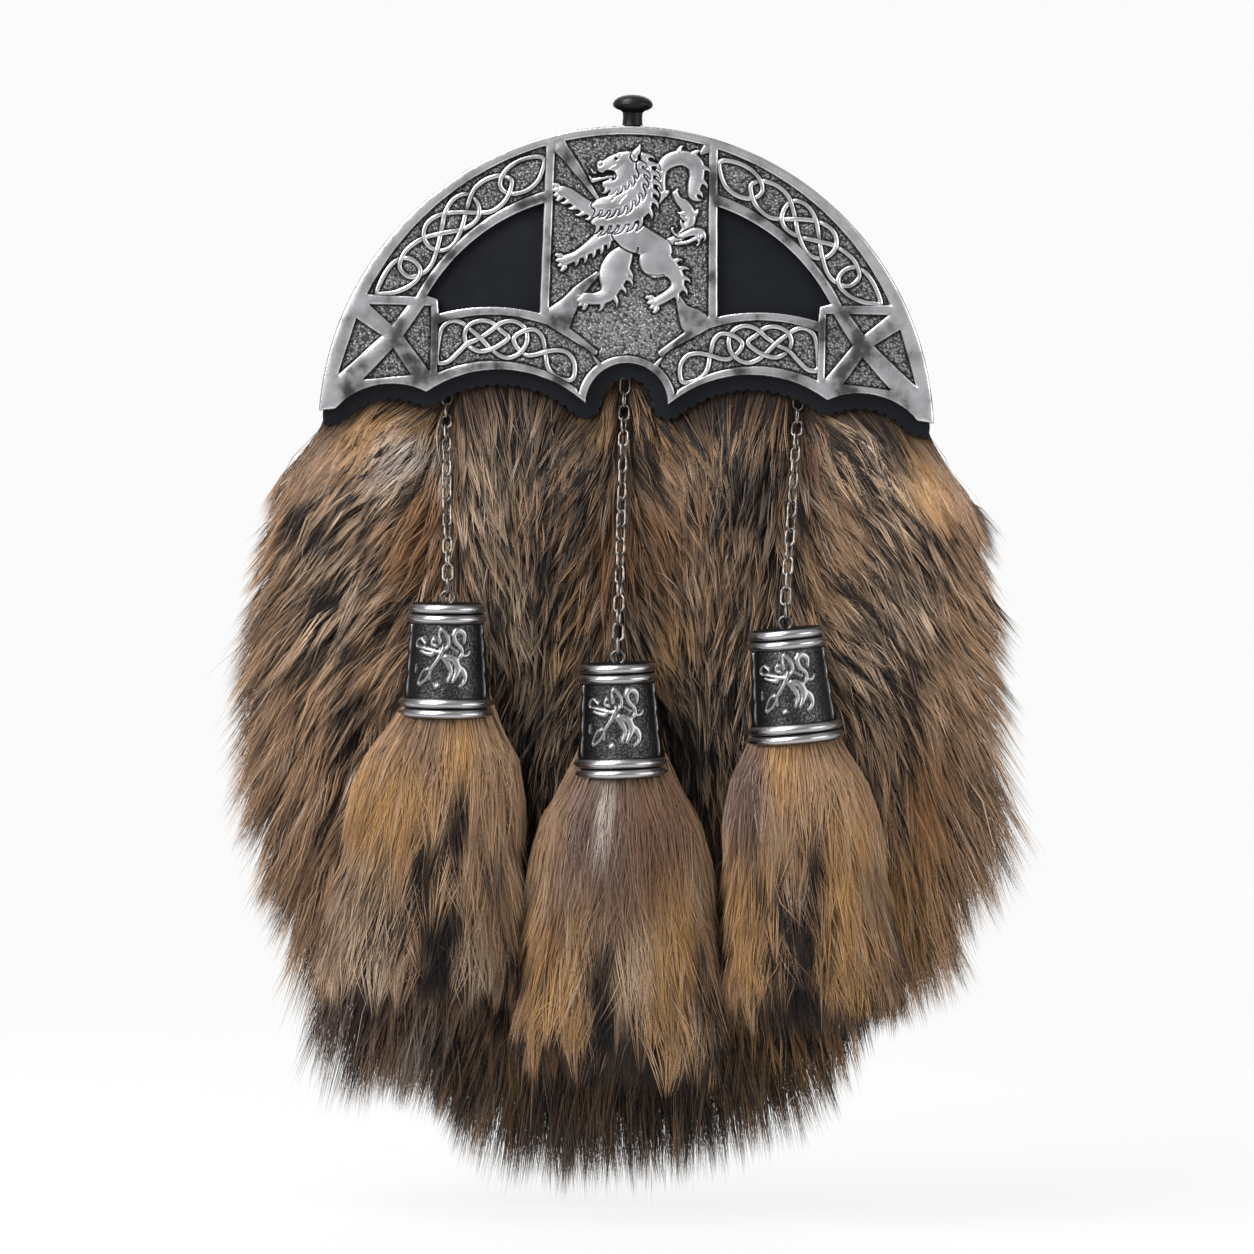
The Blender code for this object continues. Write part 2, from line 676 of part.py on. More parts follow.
def body_half(z, reach=0.0):
    """Half-width of the leather body at height z, with reach added all round."""
    if z > CANTLE_END:
        radius = CANTLE_RADIUS - 1.5 + reach
        return math.sqrt(max(radius ** 2 - (z - CANTLE_CENTRE) ** 2, 0.0))
    if z > BODY_WIDEST:
        return (BODY_HALF + reach) * math.sqrt(1 - ((z - BODY_WIDEST) / BODY_UPPER) ** 2)
    drop = min((BODY_WIDEST - z) / (BODY_WIDEST - BODY_BOTTOM + reach), 1.0)
    return (BODY_HALF + reach) * (1 - drop ** BODY_LOWER_POWER) ** (1 / BODY_LOWER_POWER)


def swell(z):
    """From 0 at the cantle's foot to 1 at the belly and about a third at the bottom."""
    part = min(max((SWELL_TOP - z) / (SWELL_TOP - BODY_BOTTOM), 0.0), 1.0)
    return math.sin(math.pi * part ** 0.85) * (1 - 0.3 * part) + 0.35 * part ** 2


def front_face(x, z):
    """Depth of the outer face of the front wall."""
    half = body_half(z) or 1.0
    across = min(abs(x) / half, 1.0)
    return PANEL_FACE - swell(z) * (BELLY + CROWN * (1 - across ** 2))


def wall_levels(top, bottom, count):
    """Heights from top to bottom, closer together at both ends."""
    return [top + (bottom - top) * (1 - math.cos(math.pi * i / count)) / 2 for i in range(count + 1)]


def shell(outer, inner, levels, columns, half):
    """Closed curved sheet between two depth functions of x and z."""
    mesh = bmesh.new()
    sheets = []
    for depth in (outer, inner):
        sheets.append([[mesh.verts.new((x, depth(x, z), z)) for x in
                        (half(z) * math.sin(math.pi / 2 * (2 * k / columns - 1)) for k in range(columns + 1))]
                       for z in levels])
    rows = len(levels) - 1
    for sheet in sheets:
        for i in range(rows):
            for k in range(columns):
                mesh.faces.new([sheet[i][k], sheet[i + 1][k], sheet[i + 1][k + 1], sheet[i][k + 1]])
    front, rear = sheets
    rim = [(0, k) for k in range(columns)] + [(i, columns) for i in range(rows)]
    rim += [(rows, k) for k in range(columns, 0, -1)] + [(i, 0) for i in range(rows, 0, -1)]
    for (i, k), (m, n) in zip(rim, rim[1:] + rim[:1]):
        mesh.faces.new([front[i][k], front[m][n], rear[m][n], rear[i][k]])
    bmesh.ops.recalc_face_normals(mesh, faces=mesh.faces)
    return mesh


def build_front_panel():
    levels = wall_levels(CANTLE_CENTRE + CANTLE_RADIUS - 2.2, SWELL_TOP, 5)[:-1] + body_levels()
    mesh = shell(front_face, lambda x, z: front_face(x, z) + LEATHER, levels, WALL_COLUMNS, body_half)
    add_piece("front_panel", mesh, (BLACK, 0.55, 0.0))


def body_levels():
    """Heights of the rows that the walls, the gusset and the pelt share."""
    return wall_levels(SWELL_TOP, BODY_BOTTOM + 0.4, BODY_ROWS)


def body_side():
    """Right edge of the body from under the cantle to the bottom, at the shared rows."""
    return [(body_half(z), z) for z in body_levels()]


def build_back_panel():
    top = disc_arc(CANTLE_RADIUS - 1.5, CANTLE_CENTRE, -81.2, 81.2, 18)
    side = body_side()
    mesh = plate(top + side + mirrored(side), [], [], LEATHER, BACK_FACE)
    add_piece("back_panel", mesh, (BLACK, 0.55, 0.0))


def build_gusset():
    """Strip round the sides and bottom that joins the front wall to the back panel."""
    side = body_side()
    route = side + mirrored(side)
    mesh = bmesh.new()
    rings = []
    for i, (x, z) in enumerate(route):
        before, after = route[max(i - 1, 0)], route[min(i + 1, len(route) - 1)]
        along = Vector((after[0] - before[0], 0, after[1] - before[1])).normalized()
        inward = Vector((along.z, 0, -along.x))
        if inward.dot(Vector((-x, 0, BODY_WIDEST - z))) < 0:
            inward.negate()
        front = front_face(x, z) + LEATHER + GAP
        rear = BACK_FACE - LEATHER - GAP
        outer = Vector((x, 0, z)) + inward * GUSSET_INSET
        inner = outer + inward * LEATHER
        rings.append([mesh.verts.new((p.x, y, p.z)) for p, y in
                      ((outer, front), (outer, rear), (inner, rear), (inner, front))])
    for first, second in zip(rings, rings[1:]):
        for k in range(4):
            mesh.faces.new([first[k], first[(k + 1) % 4], second[(k + 1) % 4], second[k]])
    mesh.faces.new(rings[0])
    mesh.faces.new(rings[-1])
    bmesh.ops.recalc_face_normals(mesh, faces=mesh.faces)
    add_piece("gusset", mesh, (BLACK, 0.55, 0.0))


def build_strap_loops():
    """Leather loops on the back, whose slots the waist strap runs through."""
    inner = LOOP_SLOT / 2
    rise = LOOP_GAP_HEIGHT / 2
    seat = BACK_FACE + GAP
    outer = inner + LEATHER
    half = [(seat, rise + LOOP_TAB), (seat + LEATHER, rise + LOOP_TAB), (seat + LEATHER, rise + 4.0),
            (outer - 1.2, rise + 2.2), (outer, rise)]
    inside = [(inner, rise - 1.0), (seat + 1.2, rise), (seat, rise + 0.8)]
    profile = half + [(y, -z) for y, z in reversed(half)] + [(y, -z) for y, z in reversed(inside)] + inside
    for side, sign in (("left", -1), ("right", 1)):
        mesh = bmesh.new()
        face = mesh.faces.new([mesh.verts.new((sign * LOOP_X - LOOP_WIDTH / 2, y, z)) for y, z in profile])
        pushed = bmesh.ops.extrude_face_region(mesh, geom=[face])
        moved = [item for item in pushed["geom"] if isinstance(item, bmesh.types.BMVert)]
        bmesh.ops.translate(mesh, verts=moved, vec=(LOOP_WIDTH, 0, 0))
        bmesh.ops.recalc_face_normals(mesh, faces=mesh.faces)
        add_piece("strap_loop_" + side, mesh, (BLACK, 0.55, 0.0))


# ---------------------------------------------------------------- chains and cones

def hang_points(row):
    """Pin of a chain and eye of its cone."""
    pin = Vector((row["chain_x"], BACKING_BACK + PIN_SINK, row["chain_z"]))
    eye = cone_frame(row) @ Vector((0, 0, EYE_RADIUS - EYE_SINK))
    return pin, eye


def chain_route(row):
    """Curve down from the pin, clear of the backing's edge, and over the pelt's swell to the eye."""
    pin, eye = hang_points(row)
    below = pin + Vector((0, -0.7, -6.0))
    above = eye + Vector((0, 0.5, 6.0))
    spans = round((below - above).length / 6.0)
    swell_out = Vector((0, -2.5, 0))
    middle = [below.lerp(above, k / spans) + swell_out * math.sin(math.pi * k / spans)
              for k in range(spans + 1)]
    return [Vector(point) for point in smooth_curve([tuple(p) for p in (pin, *middle, eye)], 6)]


def link_rings(centre, along, across, length):
    """Rings of vertices round the wire of one link."""
    normal = along.cross(across)
    straight = (length - LINK_WIDTH) / 2
    radius = (LINK_WIDTH - LINK_WIRE) / 2
    rings = []
    for a in turns(LINK_SIDES, 0.5):
        out = across * math.cos(a) + along * math.sin(a)
        middle = centre + out * radius + along * math.copysign(straight, math.sin(a))
        rings.append([middle + (out * math.cos(b) + normal * math.sin(b)) * LINK_WIRE / 2
                      for b in turns(WIRE_SIDES)])
    return rings


def chain_mesh(links):
    mesh = bmesh.new()
    for link in links:
        rings = [[mesh.verts.new(point) for point in ring] for ring in link_rings(*link)]
        skin_rings(mesh, rings + rings[:1])
    return mesh


def build_chain(side, row):
    """Oval links, each a quarter turn from the last, from the pin to the cone's eye."""
    route = chain_route(row)
    lengths = [0.0]
    for before, after in zip(route, route[1:]):
        lengths.append(lengths[-1] + (after - before).length)
    over_pin = PIN_RADIUS + GAP
    under_eye = EYE_RADIUS - EYE_WIRE / 2 - GAP
    spare = LINK_LENGTH - LINK_PITCH
    reach = lengths[-1] + over_pin - under_eye - spare + 2 * LINK_WIRE
    count = 2 * round(reach / LINK_PITCH / 2)          # even, so that the last link crosses the eye
    pitch = reach / count
    start = (pitch + spare) / 2 - LINK_WIRE - over_pin
    links = []
    for i in range(count):
        walked = start + pitch * i
        k = max(1, next((k for k, length in enumerate(lengths) if length >= walked), len(lengths) - 1))
        along = (route[k] - route[k - 1]).normalized()
        centre = route[k - 1] + along * (walked - lengths[k - 1])
        flat = along.cross(Vector((0, 1, 0))).normalized()
        turn = math.radians(90 * (i % 2) + LINK_TWIST * math.sin(math.pi * i / (count - 1)))
        across = flat * math.cos(turn) + along.cross(flat) * math.sin(turn)
        links.append((centre, along, across, pitch + spare))
    chain = add_piece("chain_" + side, chain_mesh(links[0::2]), (DARK_METAL, 0.4, 1.0), 50)
    join_solid(chain, chain_mesh(links[1::2]))


def build_rivet(side, row):
    """Short pin through the top link, from the backing to the pelt."""
    pin, _ = hang_points(row)
    mesh = turned([(0.0, 0.0), (PIN_RADIUS, 0.0), (PIN_RADIUS, PIN_LENGTH), (0.0, PIN_LENGTH)], 6)
    bmesh.ops.rotate(mesh, verts=mesh.verts, matrix=Matrix.Rotation(math.radians(-90), 3, "X"))
    bmesh.ops.translate(mesh, verts=mesh.verts, vec=(pin.x, BACKING_BACK + GAP, pin.z))
    add_piece("chain_rivet_" + side, mesh, (DARK_METAL, 0.4, 1.0))


def cone_frame(row):
    """Matrix of a cone: its top's centre and its lean."""
    return (Matrix.Translation((row["cone_x"], CONE_AXIS, row["cone_z"]))
            @ Matrix.Rotation(math.radians(-row["lean"]), 4, "Y"))


def cone_bore(up):
    """Inner radius of a cone at this height over its foot."""
    foot, top = CONE_FOOT - 0.5 - CONE_WALL, CONE_TOP - 0.8 - CONE_WALL
    return foot + (top - foot) * up / (CONE_HEIGHT - CONE_CEILING)


def build_cone(side, row):
    """Hollow metal cap with two rings at its top and two at its foot, and an eye for the chain."""
    outer = [(0.0, 0.0)] + [(CONE_TOP + row["out"], -row["down"]) for row in CONE_TOP_RINGS]
    outer += [(CONE_FOOT + row["out"], row["up"] - CONE_HEIGHT) for row in CONE_FOOT_RINGS]
    inner = [(cone_bore(0.0), -CONE_HEIGHT), (cone_bore(CONE_HEIGHT - CONE_CEILING), -CONE_CEILING),
             (0.0, -CONE_WALL)]
    mesh = turned(outer + inner, CONE_SIDES)
    bmesh.ops.transform(mesh, matrix=cone_frame(row), verts=mesh.verts)
    cone = add_piece("cone_" + side, mesh, (PEWTER, 0.4, 1.0), 40)
    eye = bmesh.new()
    rings = []
    for a in turns(LINK_SIDES):
        out = Vector((math.cos(a), 0, math.sin(a)))
        middle = Vector((0, 0, EYE_RADIUS - EYE_SINK)) + out * EYE_RADIUS
        rings.append([eye.verts.new(middle + (out * math.cos(b) + Vector((0, 1, 0)) * math.sin(b))
                                    * EYE_WIRE / 2) for b in turns(WIRE_SIDES)])
    skin_rings(eye, rings + rings[:1])
    bmesh.ops.transform(eye, matrix=cone_frame(row), verts=eye.verts)
    join_solid(cone, eye)


# ---------------------------------------------------------------- fur

def join_lock(piece, root, tip, width, depth, sweep):
    """Join one tapered lock to a piece, curved towards sweep in its middle."""
    mesh = bmesh.new()
    along = (tip - root).normalized()
    side = along.cross(Vector((0, 1, 0))).normalized()
    thick = side.cross(along)
    rings = []
    for row in LOCK_RINGS:
        part, size = row["along"], row["wide"]
        middle = root.lerp(tip, part) + sweep * (4 * part * (1 - part))
        rings.append([mesh.verts.new(middle + side * width * size * math.cos(a)
                                     + thick * depth * size * math.sin(a)) for a in turns(LOCK_SIDES)])
    mesh.faces.new(rings[0])
    skin_rings(mesh, rings + [[mesh.verts.new(tip)]])
    join_solid(piece, mesh)


def build_tassel(side, row, chance):
    """Fur tassel: a neck inside the cone, a pear-shaped head and a skirt of locks."""
    frame = cone_frame(row)
    foot = frame @ Vector((0, 0, -CONE_HEIGHT))
    length = foot.z - row["end"]
    mesh = bmesh.new()
    rings = []
    for up in NECK_UPS:
        neck = cone_bore(up) - NECK_GAP
        rings.append(level_ring(mesh, frame @ Vector((0, 0, up - CONE_HEIGHT)), neck, neck, TASSEL_SIDES))
    for ring in TASSEL_RINGS:
        middle = Vector((foot.x + row["drift"] * ring["down"], foot.y, foot.z - length * ring["down"]))
        deep = TASSEL_DEPTH * min(0.6 + 0.5 * ring["wide"], 1.0)
        rings.append(level_ring(mesh, middle, row["half"] * ring["wide"], deep, TASSEL_SIDES))
    mesh.faces.new(rings[0])
    mesh.faces.new(rings[-1])
    skin_rings(mesh, rings)
    tassel = add_piece("tassel_" + side, mesh, (TASSEL_FUR, 0.8, 0.0), 60)
    base = Vector((foot.x + row["drift"] * 0.6, foot.y, foot.z - length * TASSEL_LOCK_FROM))
    for a in turns(TASSEL_LOCKS, 0.3):
        spread = Vector((math.cos(a), math.sin(a) * TASSEL_DEPTH / row["half"] * 0.8, 0))
        rise = length * chance.uniform(0.0, TASSEL_RAGGED) + abs(spread.x) * 5.0
        tip = Vector((foot.x + row["drift"], foot.y, row["end"] + rise))
        join_lock(tassel, base + spread * row["half"] * 0.6, tip + spread * row["half"] * TASSEL_LOCK_SPREAD,
                  TASSEL_LOCK_WIDTH, TASSEL_LOCK_DEPTH, spread * 1.5)


def fringe_row(around):
    """How far the locks stand out and hang down at this share of the way round."""
    for before, after in zip(FRINGE, FRINGE[1:]):
        if around <= after["around"]:
            part = (around - before["around"]) / (after["around"] - before["around"])
            return (before["out"] + (after["out"] - before["out"]) * part,
                    before["down"] + (after["down"] - before["down"]) * part)
    return FRINGE[-1]["out"], FRINGE[-1]["down"]


def pile_face(x, z):
    """Depth of the front of the fur mass under its locks."""
    half = body_half(z) or 1.0
    across = min(abs(x) / half, 1.3)
    return front_face(x, z) - GAP - SKIN - FUR_BELLY * swell(z) * across ** 4


def join_edge_locks(fur, chance):
    """Locks that stand out round the pelt from one corner of the cantle to the other."""
    side = body_side()
    route = smooth_curve([(-x, z) for x, z in side] + side[::-1], 10)
    lengths = [0.0]
    for before, after in zip(route, route[1:]):
        lengths.append(lengths[-1] + math.dist(before, after))
    for k in range(FRINGE_LOCKS):
        around = (k + 0.5) / FRINGE_LOCKS
        x, z = route[next(i for i, walked in enumerate(lengths) if walked >= around * lengths[-1])]
        out, down = fringe_row(around)
        edge = Vector((x, front_face(x, z), z))
        away = Vector((x / BODY_HALF, 0, min((z - BODY_WIDEST) / 100.0, 0.0))).normalized()
        root = edge + Vector((0, -LOCK_SINK, down * 0.3)) - away * EDGE_LOCK_ROOT
        root.z = min(root.z, LOCK_TOP)
        hang = Vector((0, -1.0 - chance.uniform(0, 4.0), -down * (0.55 - 0.4 * abs(away.z))))
        tip = edge + hang + away * out * chance.uniform(0.86, 1.02)
        width = chance.uniform(*EDGE_LOCK_WIDTHS)
        join_lock(fur, root, tip, width, EDGE_LOCK_DEPTH, Vector((0, -LOCK_ARCH, 0)))


def join_face_locks(fur, chance):
    """Rows of locks down the front of the pelt, where nothing hangs before it."""
    for row in range(FACE_ROWS):
        top = FACE_ROW_TOP - FACE_ROW_PITCH * row
        for k in range(FACE_COLUMNS):
            x = (k - FACE_COLUMNS // 2) * FACE_COLUMN_PITCH + (row % 2) * 8.0
            if abs(x) > body_half(top - 12.0) - 14.0 or lane(x, top - 12.0):
                continue
            root = Vector((x, front_face(x, top) - FACE_LOCK_ROOT, top))
            tip = Vector((x * 1.1, 0.0, top - FACE_LOCK_LENGTH + chance.uniform(-3, 3)))
            tip.y = front_face(tip.x, max(tip.z, BODY_BOTTOM)) - FACE_LOCK_TIP
            join_lock(fur, root, tip, FACE_LOCK_WIDTH, FACE_LOCK_DEPTH, Vector((0, -LOCK_ARCH, 0)))


def build_fur(chance):
    """Pelt over the front wall, with its pile in locks."""
    levels = [FUR_TOP] + body_levels()
    mesh = shell(pile_face, lambda x, z: front_face(x, z) - 2 * GAP, levels, WALL_COLUMNS, body_half)
    fur = add_piece("fur_front", mesh, (FUR, 0.85, 0.0), 60)
    join_edge_locks(fur, chance)
    join_face_locks(fur, chance)
    thin_out(fur, FUR_THINNING)
    for row in HANGINGS.values():
        pin, _ = hang_points(row)
        cut_solid(fur, box_mesh((pin.x - SLOT_HALF, BACKING_BACK - 6.0, pin.z - SLOT_DROP),
                                (pin.x + SLOT_HALF, PANEL_FACE + 2.0, pin.z + SLOT_RISE)))


def lane(x, z):
    """Whether a chain, cone or tassel hangs in front of this place."""
    for row in HANGINGS.values():
        reach = 9.0 if z > row["cone_z"] else 22.0
        if abs(x - row["cone_x"]) < reach and z > row["end"] + 34.0:
            return True
    return False


def main():
    chance = random.Random(7)
    clear_scene()
    build_cantle()
    build_backing()
    build_stud()
    build_front_panel()
    build_gusset()
    build_back_panel()
    build_strap_loops()
    build_fur(chance)
    for side, row in HANGINGS.items():
        build_rivet(side, row)
        build_chain(side, row)
        build_cone(side, row)
        build_tassel(side, row, chance)


main()
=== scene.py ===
"""Looks of a fur sporran pouch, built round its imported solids.

Sizes are in millimetres until a mesh is made. +Z is up, the front faces -Y and +X is the viewer's right.
"""
import math

import bpy
import numpy as np
from mathutils import Matrix, Vector
from mathutils.geometry import delaunay_2d_cdt
from mathutils.kdtree import KDTree


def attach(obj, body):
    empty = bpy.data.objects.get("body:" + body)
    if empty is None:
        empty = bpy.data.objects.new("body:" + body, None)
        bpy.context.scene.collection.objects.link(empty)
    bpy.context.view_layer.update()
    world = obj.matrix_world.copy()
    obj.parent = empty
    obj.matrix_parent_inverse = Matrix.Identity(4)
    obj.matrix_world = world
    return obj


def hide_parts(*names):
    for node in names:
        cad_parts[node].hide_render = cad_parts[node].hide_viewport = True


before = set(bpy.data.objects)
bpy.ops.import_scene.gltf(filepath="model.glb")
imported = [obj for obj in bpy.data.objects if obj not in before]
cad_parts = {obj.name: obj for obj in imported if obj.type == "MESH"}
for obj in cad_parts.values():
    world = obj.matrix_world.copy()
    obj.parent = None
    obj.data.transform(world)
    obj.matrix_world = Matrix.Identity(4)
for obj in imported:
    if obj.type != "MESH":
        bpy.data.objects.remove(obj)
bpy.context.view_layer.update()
chance = np.random.default_rng(7)

MM = 0.001

# Depths and heights that the solids set
BACK_FACE = -3.2                # outer face of the back panel
LEATHER = 2.0
PANEL_FACE = -23.2              # outer face of the front wall at the mouth
SKIN = 3.3                      # from that face to the front of the pelt's skin
BACKING_BACK = -26.8
CANTLE_BACK = -29.1
BELLY, CROWN, SWELL_TOP = 9.0, 4.0, -35.0
BODY_HALF, BODY_WIDEST, BODY_BOTTOM = 86.0, -100.0, -203.0
BODY_UPPER, BODY_POWER = 206.0, 2.4
CANTLE_RADIUS, CANTLE_CENTRE, CANTLE_END = 83.0, -36.3, -31.6
RIM_RADIUS, RIM_CENTRE = 78.1, -33.7
ARCH_RADIUS, ARCH_CENTRE = 11.0, -28.1
TIP_X, TIP_Z = 54.0, -26.0
GROUND, STRAND, BAR = 1.4, 2.3, 2.7     # heights of the relief over the back of the plate
BACKING_DROP = 4.0
PINK, PINK_DEPTH = 2.8, 0.8
STUD_HEAD, STUD_NECK, STUD_TOP = 5.4, 2.7, 55.3
LOOP_X, LOOP_WIDTH, LOOP_SLOT, LOOP_RISE, LOOP_TAB = 42.0, 20.0, 5.2, 15.0, 9.0
CONE_HEIGHT, CONE_TOP, CONE_FOOT, CONE_AXIS = 30.5, 10.1, 12.8, -55.5
EYE_RADIUS, EYE_WIRE = 1.75, 0.9
TASSEL_DEPTH = 14.0
HANGINGS = {
    "left":   dict(chain_x=-48.6, chain_z=-24.8, cone_x=-46.7, cone_z=-81.7, lean=0.6,
                   half=25.5, end=-194.0, drift=-7.5),
    "center": dict(chain_x=-0.6, chain_z=-21.0, cone_x=-0.9, cone_z=-96.7, lean=3.0,
                   half=26.5, end=-214.0, drift=0.8),
    "right":  dict(chain_x=46.3, chain_z=-24.0, cone_x=43.7, cone_z=-86.6, lean=6.5,
                   half=23.0, end=-199.0, drift=7.5),
}


# ---------------------------------------------------------------- materials

def tone(red, green, blue):
    """Linear colour of an sRGB colour in steps of 255."""
    return np.array([(c / 255 / 12.92) if c < 10 else ((c / 255 + 0.055) / 1.055) ** 2.4
                     for c in (red, green, blue)])


class Nodes:
    """The nodes of a material or a world."""

    def __init__(self, tree):
        self.nodes, self.links = tree.nodes, tree.links

    def feed(self, node, values):
        """Link or set inputs of a node by their names or numbers."""
        for key, value in values.items():
            if isinstance(value, bpy.types.NodeSocket):
                self.links.new(value, node.inputs[key])
            else:
                node.inputs[key].default_value = value

    def add(self, kind, values=(), **settings):
        node = self.nodes.new("ShaderNode" + kind)
        for key, value in settings.items():
            setattr(node, key, value)
        self.feed(node, dict(values))
        return node

    def ramp(self, value, *stops):
        """Colours at places along a value."""
        node = self.add("ValToRGB", {"Fac": value})
        while len(node.color_ramp.elements) < len(stops):
            node.color_ramp.elements.new(0.5)
        for element, (place, colour) in zip(node.color_ramp.elements, stops):
            element.position = place
            element.color = (*colour, 1)
        return node.outputs["Color"]


class Finish(Nodes):
    """A material whose nodes end in one Principled shader."""

    def __init__(self, name, **values):
        self.made = bpy.data.materials.new(name)
        self.made.use_nodes = True
        super().__init__(self.made.node_tree)
        self.shader = self.nodes["Principled BSDF"]
        self.feed(self.shader, {key.replace("_", " "): value for key, value in values.items()})

    def noise(self, size, detail=3.0, stretch=(1, 1, 1)):
        """Noise whose features are about this many millimetres across."""
        place = self.add("TexCoord").outputs["Object"]
        turned = self.add("Mapping", {"Vector": place, "Scale": stretch})
        values = {"Vector": turned.outputs[0], "Scale": 1 / (size * MM), "Detail": detail}
        return self.add("TexNoise", values).outputs["Fac"]

    def cells(self, size):
        place = self.add("TexCoord").outputs["Object"]
        return self.add("TexVoronoi", {"Vector": place, "Scale": 1 / (size * MM)}).outputs["Distance"]

    def blend(self, share, first, second, how="MIX"):
        values = {"Fac": share, "Color1": first, "Color2": second}
        return self.add("MixRGB", values, blend_type=how).outputs["Color"]

    def sums(self, operation, first, second):
        return self.add("Math", {0: first, 1: second}, operation=operation).outputs[0]

    def bump(self, height, depth, strength=1.0):
        """Bump this many millimetres deep."""
        values = {"Height": height, "Distance": depth * MM, "Strength": strength}
        self.feed(self.shader, {"Normal": self.add("Bump", values).outputs[0]})

    def attribute(self, name, output="Color"):
        return self.add("Attribute", attribute_name=name).outputs[output]


def grey(value):
    return (value, value * 0.985, value * 1.02)


def pewter_finish(name, bright, dark, shine, stipple=0.0, tarnish=2.0):
    """Cast metal, polished where it stands high, blackened in its hollows, with stippled spots or clouds."""
    made = Finish(name, Metallic=1.0)
    if stipple:
        spots, share = made.sums("SUBTRACT", 0.42, made.cells(stipple)), 0.85
    else:
        spots, share = made.sums("SUBTRACT", made.noise(8.0, 4.0), 0.52), tarnish
    worn = made.sums("ADD", made.attribute("Wear", "Fac"), made.sums("MULTIPLY", spots, share))
    colour = made.ramp(worn, (0.05, grey(dark)), (0.35, grey(dark * 4)), (0.60, grey(bright * 0.62)),
                       (0.95, grey(bright)))
    rough = made.ramp(worn, (0.1, grey(0.5)), (0.6, grey(0.36)), (1.0, grey(shine)))
    made.feed(made.shader, {"Base Color": colour, "Roughness": rough})
    made.bump(*((spots, 0.16, 0.9) if stipple else (made.noise(1.1, 3.0), 0.05, 0.5)))
    return made.made


def leather_finish(name, colour, shine):
    made = Finish(name, Specular_IOR_Level=0.2)
    grain = made.cells(0.9)
    cloud = made.noise(14.0, 3.0)
    made.feed(made.shader, {
        "Base Color": made.ramp(cloud, (0.3, colour * 0.75), (0.7, colour * 1.25)),
        "Roughness": made.ramp(made.noise(6.0, 3.0), (0.3, grey(shine)), (0.7, grey(shine + 0.14))),
    })
    made.bump(made.blend(0.4, grain, made.noise(0.5, 2.0)), 0.12, 0.35)
    return made.made


def clouded_finish(name, size, colours, rough, grain, depth, strength, **values):
    """Metal or lacquer with soft clouds of colour and gloss, and a fine uneven skin."""
    made = Finish(name, **values)
    cloud = made.noise(size, 3.0)
    made.feed(made.shader, {
        "Base Color": made.ramp(cloud, *colours),
        "Roughness": made.ramp(cloud, (0.3, grey(rough[0])), (0.8, grey(rough[1]))),
    })
    made.bump(made.noise(grain, 2.0), depth, strength)
    return made.made


def fur_finish(name, roughness):
    """Hair coloured by the tint at each of its points, a little uneven in its gloss."""
    made = Finish(name, Roughness=roughness, Specular_IOR_Level=0.22)
    gloss = made.ramp(made.noise(9.0, 2.0), (0.35, grey(roughness - 0.08)), (0.65, grey(roughness + 0.08)))
    fine = made.ramp(made.noise(0.7, 2.0), (0.3, grey(0.82)), (0.7, grey(1.12)))
    colour = made.blend(1.0, made.attribute("Tint"), fine, "MULTIPLY")
    made.feed(made.shader, {"Base Color": colour, "Roughness": gloss})
    return made.made


def underfur_finish(name, dark, pale):
    made = Finish(name, Roughness=0.85, Specular_IOR_Level=0.2)
    streak = made.noise(1.4, 4.0, (1, 1, 0.18))
    made.feed(made.shader, {"Base Color": made.ramp(streak, (0.3, dark), (0.7, pale))})
    made.bump(streak, 0.5, 0.8)
    return made.made


def thread_finish():
    made = Finish("black_thread", Roughness=0.6)
    twist = made.noise(0.35, 1.0, (3, 1, 1))
    made.feed(made.shader, {"Base Color": made.ramp(twist, (0.3, grey(0.016)), (0.7, grey(0.05)))})
    made.bump(twist, 0.06, 0.6)
    return made.made


# ---------------------------------------------------------------- meshes

def add_piece(name, points, faces, finish, slot=None, stands_for=(), smooth=40.0, **attributes):
    """Make a piece from points in millimetres and groups of faces with equal numbers of corners."""
    mesh = bpy.data.meshes.new(name)
    points = np.asarray(points, float) * MM
    groups = [np.atleast_2d(np.asarray(group, np.int32)) for group in faces if len(group)]
    corners = np.concatenate([group.ravel() for group in groups])
    sizes = np.concatenate([np.full(len(group), group.shape[1]) for group in groups])
    mesh.vertices.add(len(points))
    mesh.vertices.foreach_set("co", points.astype(np.float32).ravel())
    mesh.loops.add(len(corners))
    mesh.loops.foreach_set("vertex_index", corners)
    mesh.polygons.add(len(sizes))
    mesh.polygons.foreach_set("loop_start", np.concatenate([[0], np.cumsum(sizes)[:-1]]).astype(np.int32))
    mesh.update(calc_edges=True)
    for key, values in attributes.items():
        values = np.asarray(values, np.float32)
        if key == "map":
            layer = mesh.uv_layers.new(name="OFBake")
            layer.uv.foreach_set("vector", values[corners].ravel())
        elif values.ndim == 1:
            mesh.attributes.new(key, "FLOAT", "POINT").data.foreach_set("value", values)
        else:
            layer = mesh.color_attributes.new(key, "FLOAT_COLOR", "POINT")
            layer.data.foreach_set("color", np.c_[values, np.ones(len(values))].astype(np.float32).ravel())
    mesh.materials.append(finish)
    mesh.shade_smooth()
    if smooth < 180:
        mesh.set_sharp_from_angle(angle=math.radians(smooth))
    piece = bpy.data.objects.new(name, mesh)
    bpy.context.scene.collection.objects.link(piece)
    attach(piece, "root")
    if stands_for:
        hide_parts(*stands_for)
    return piece


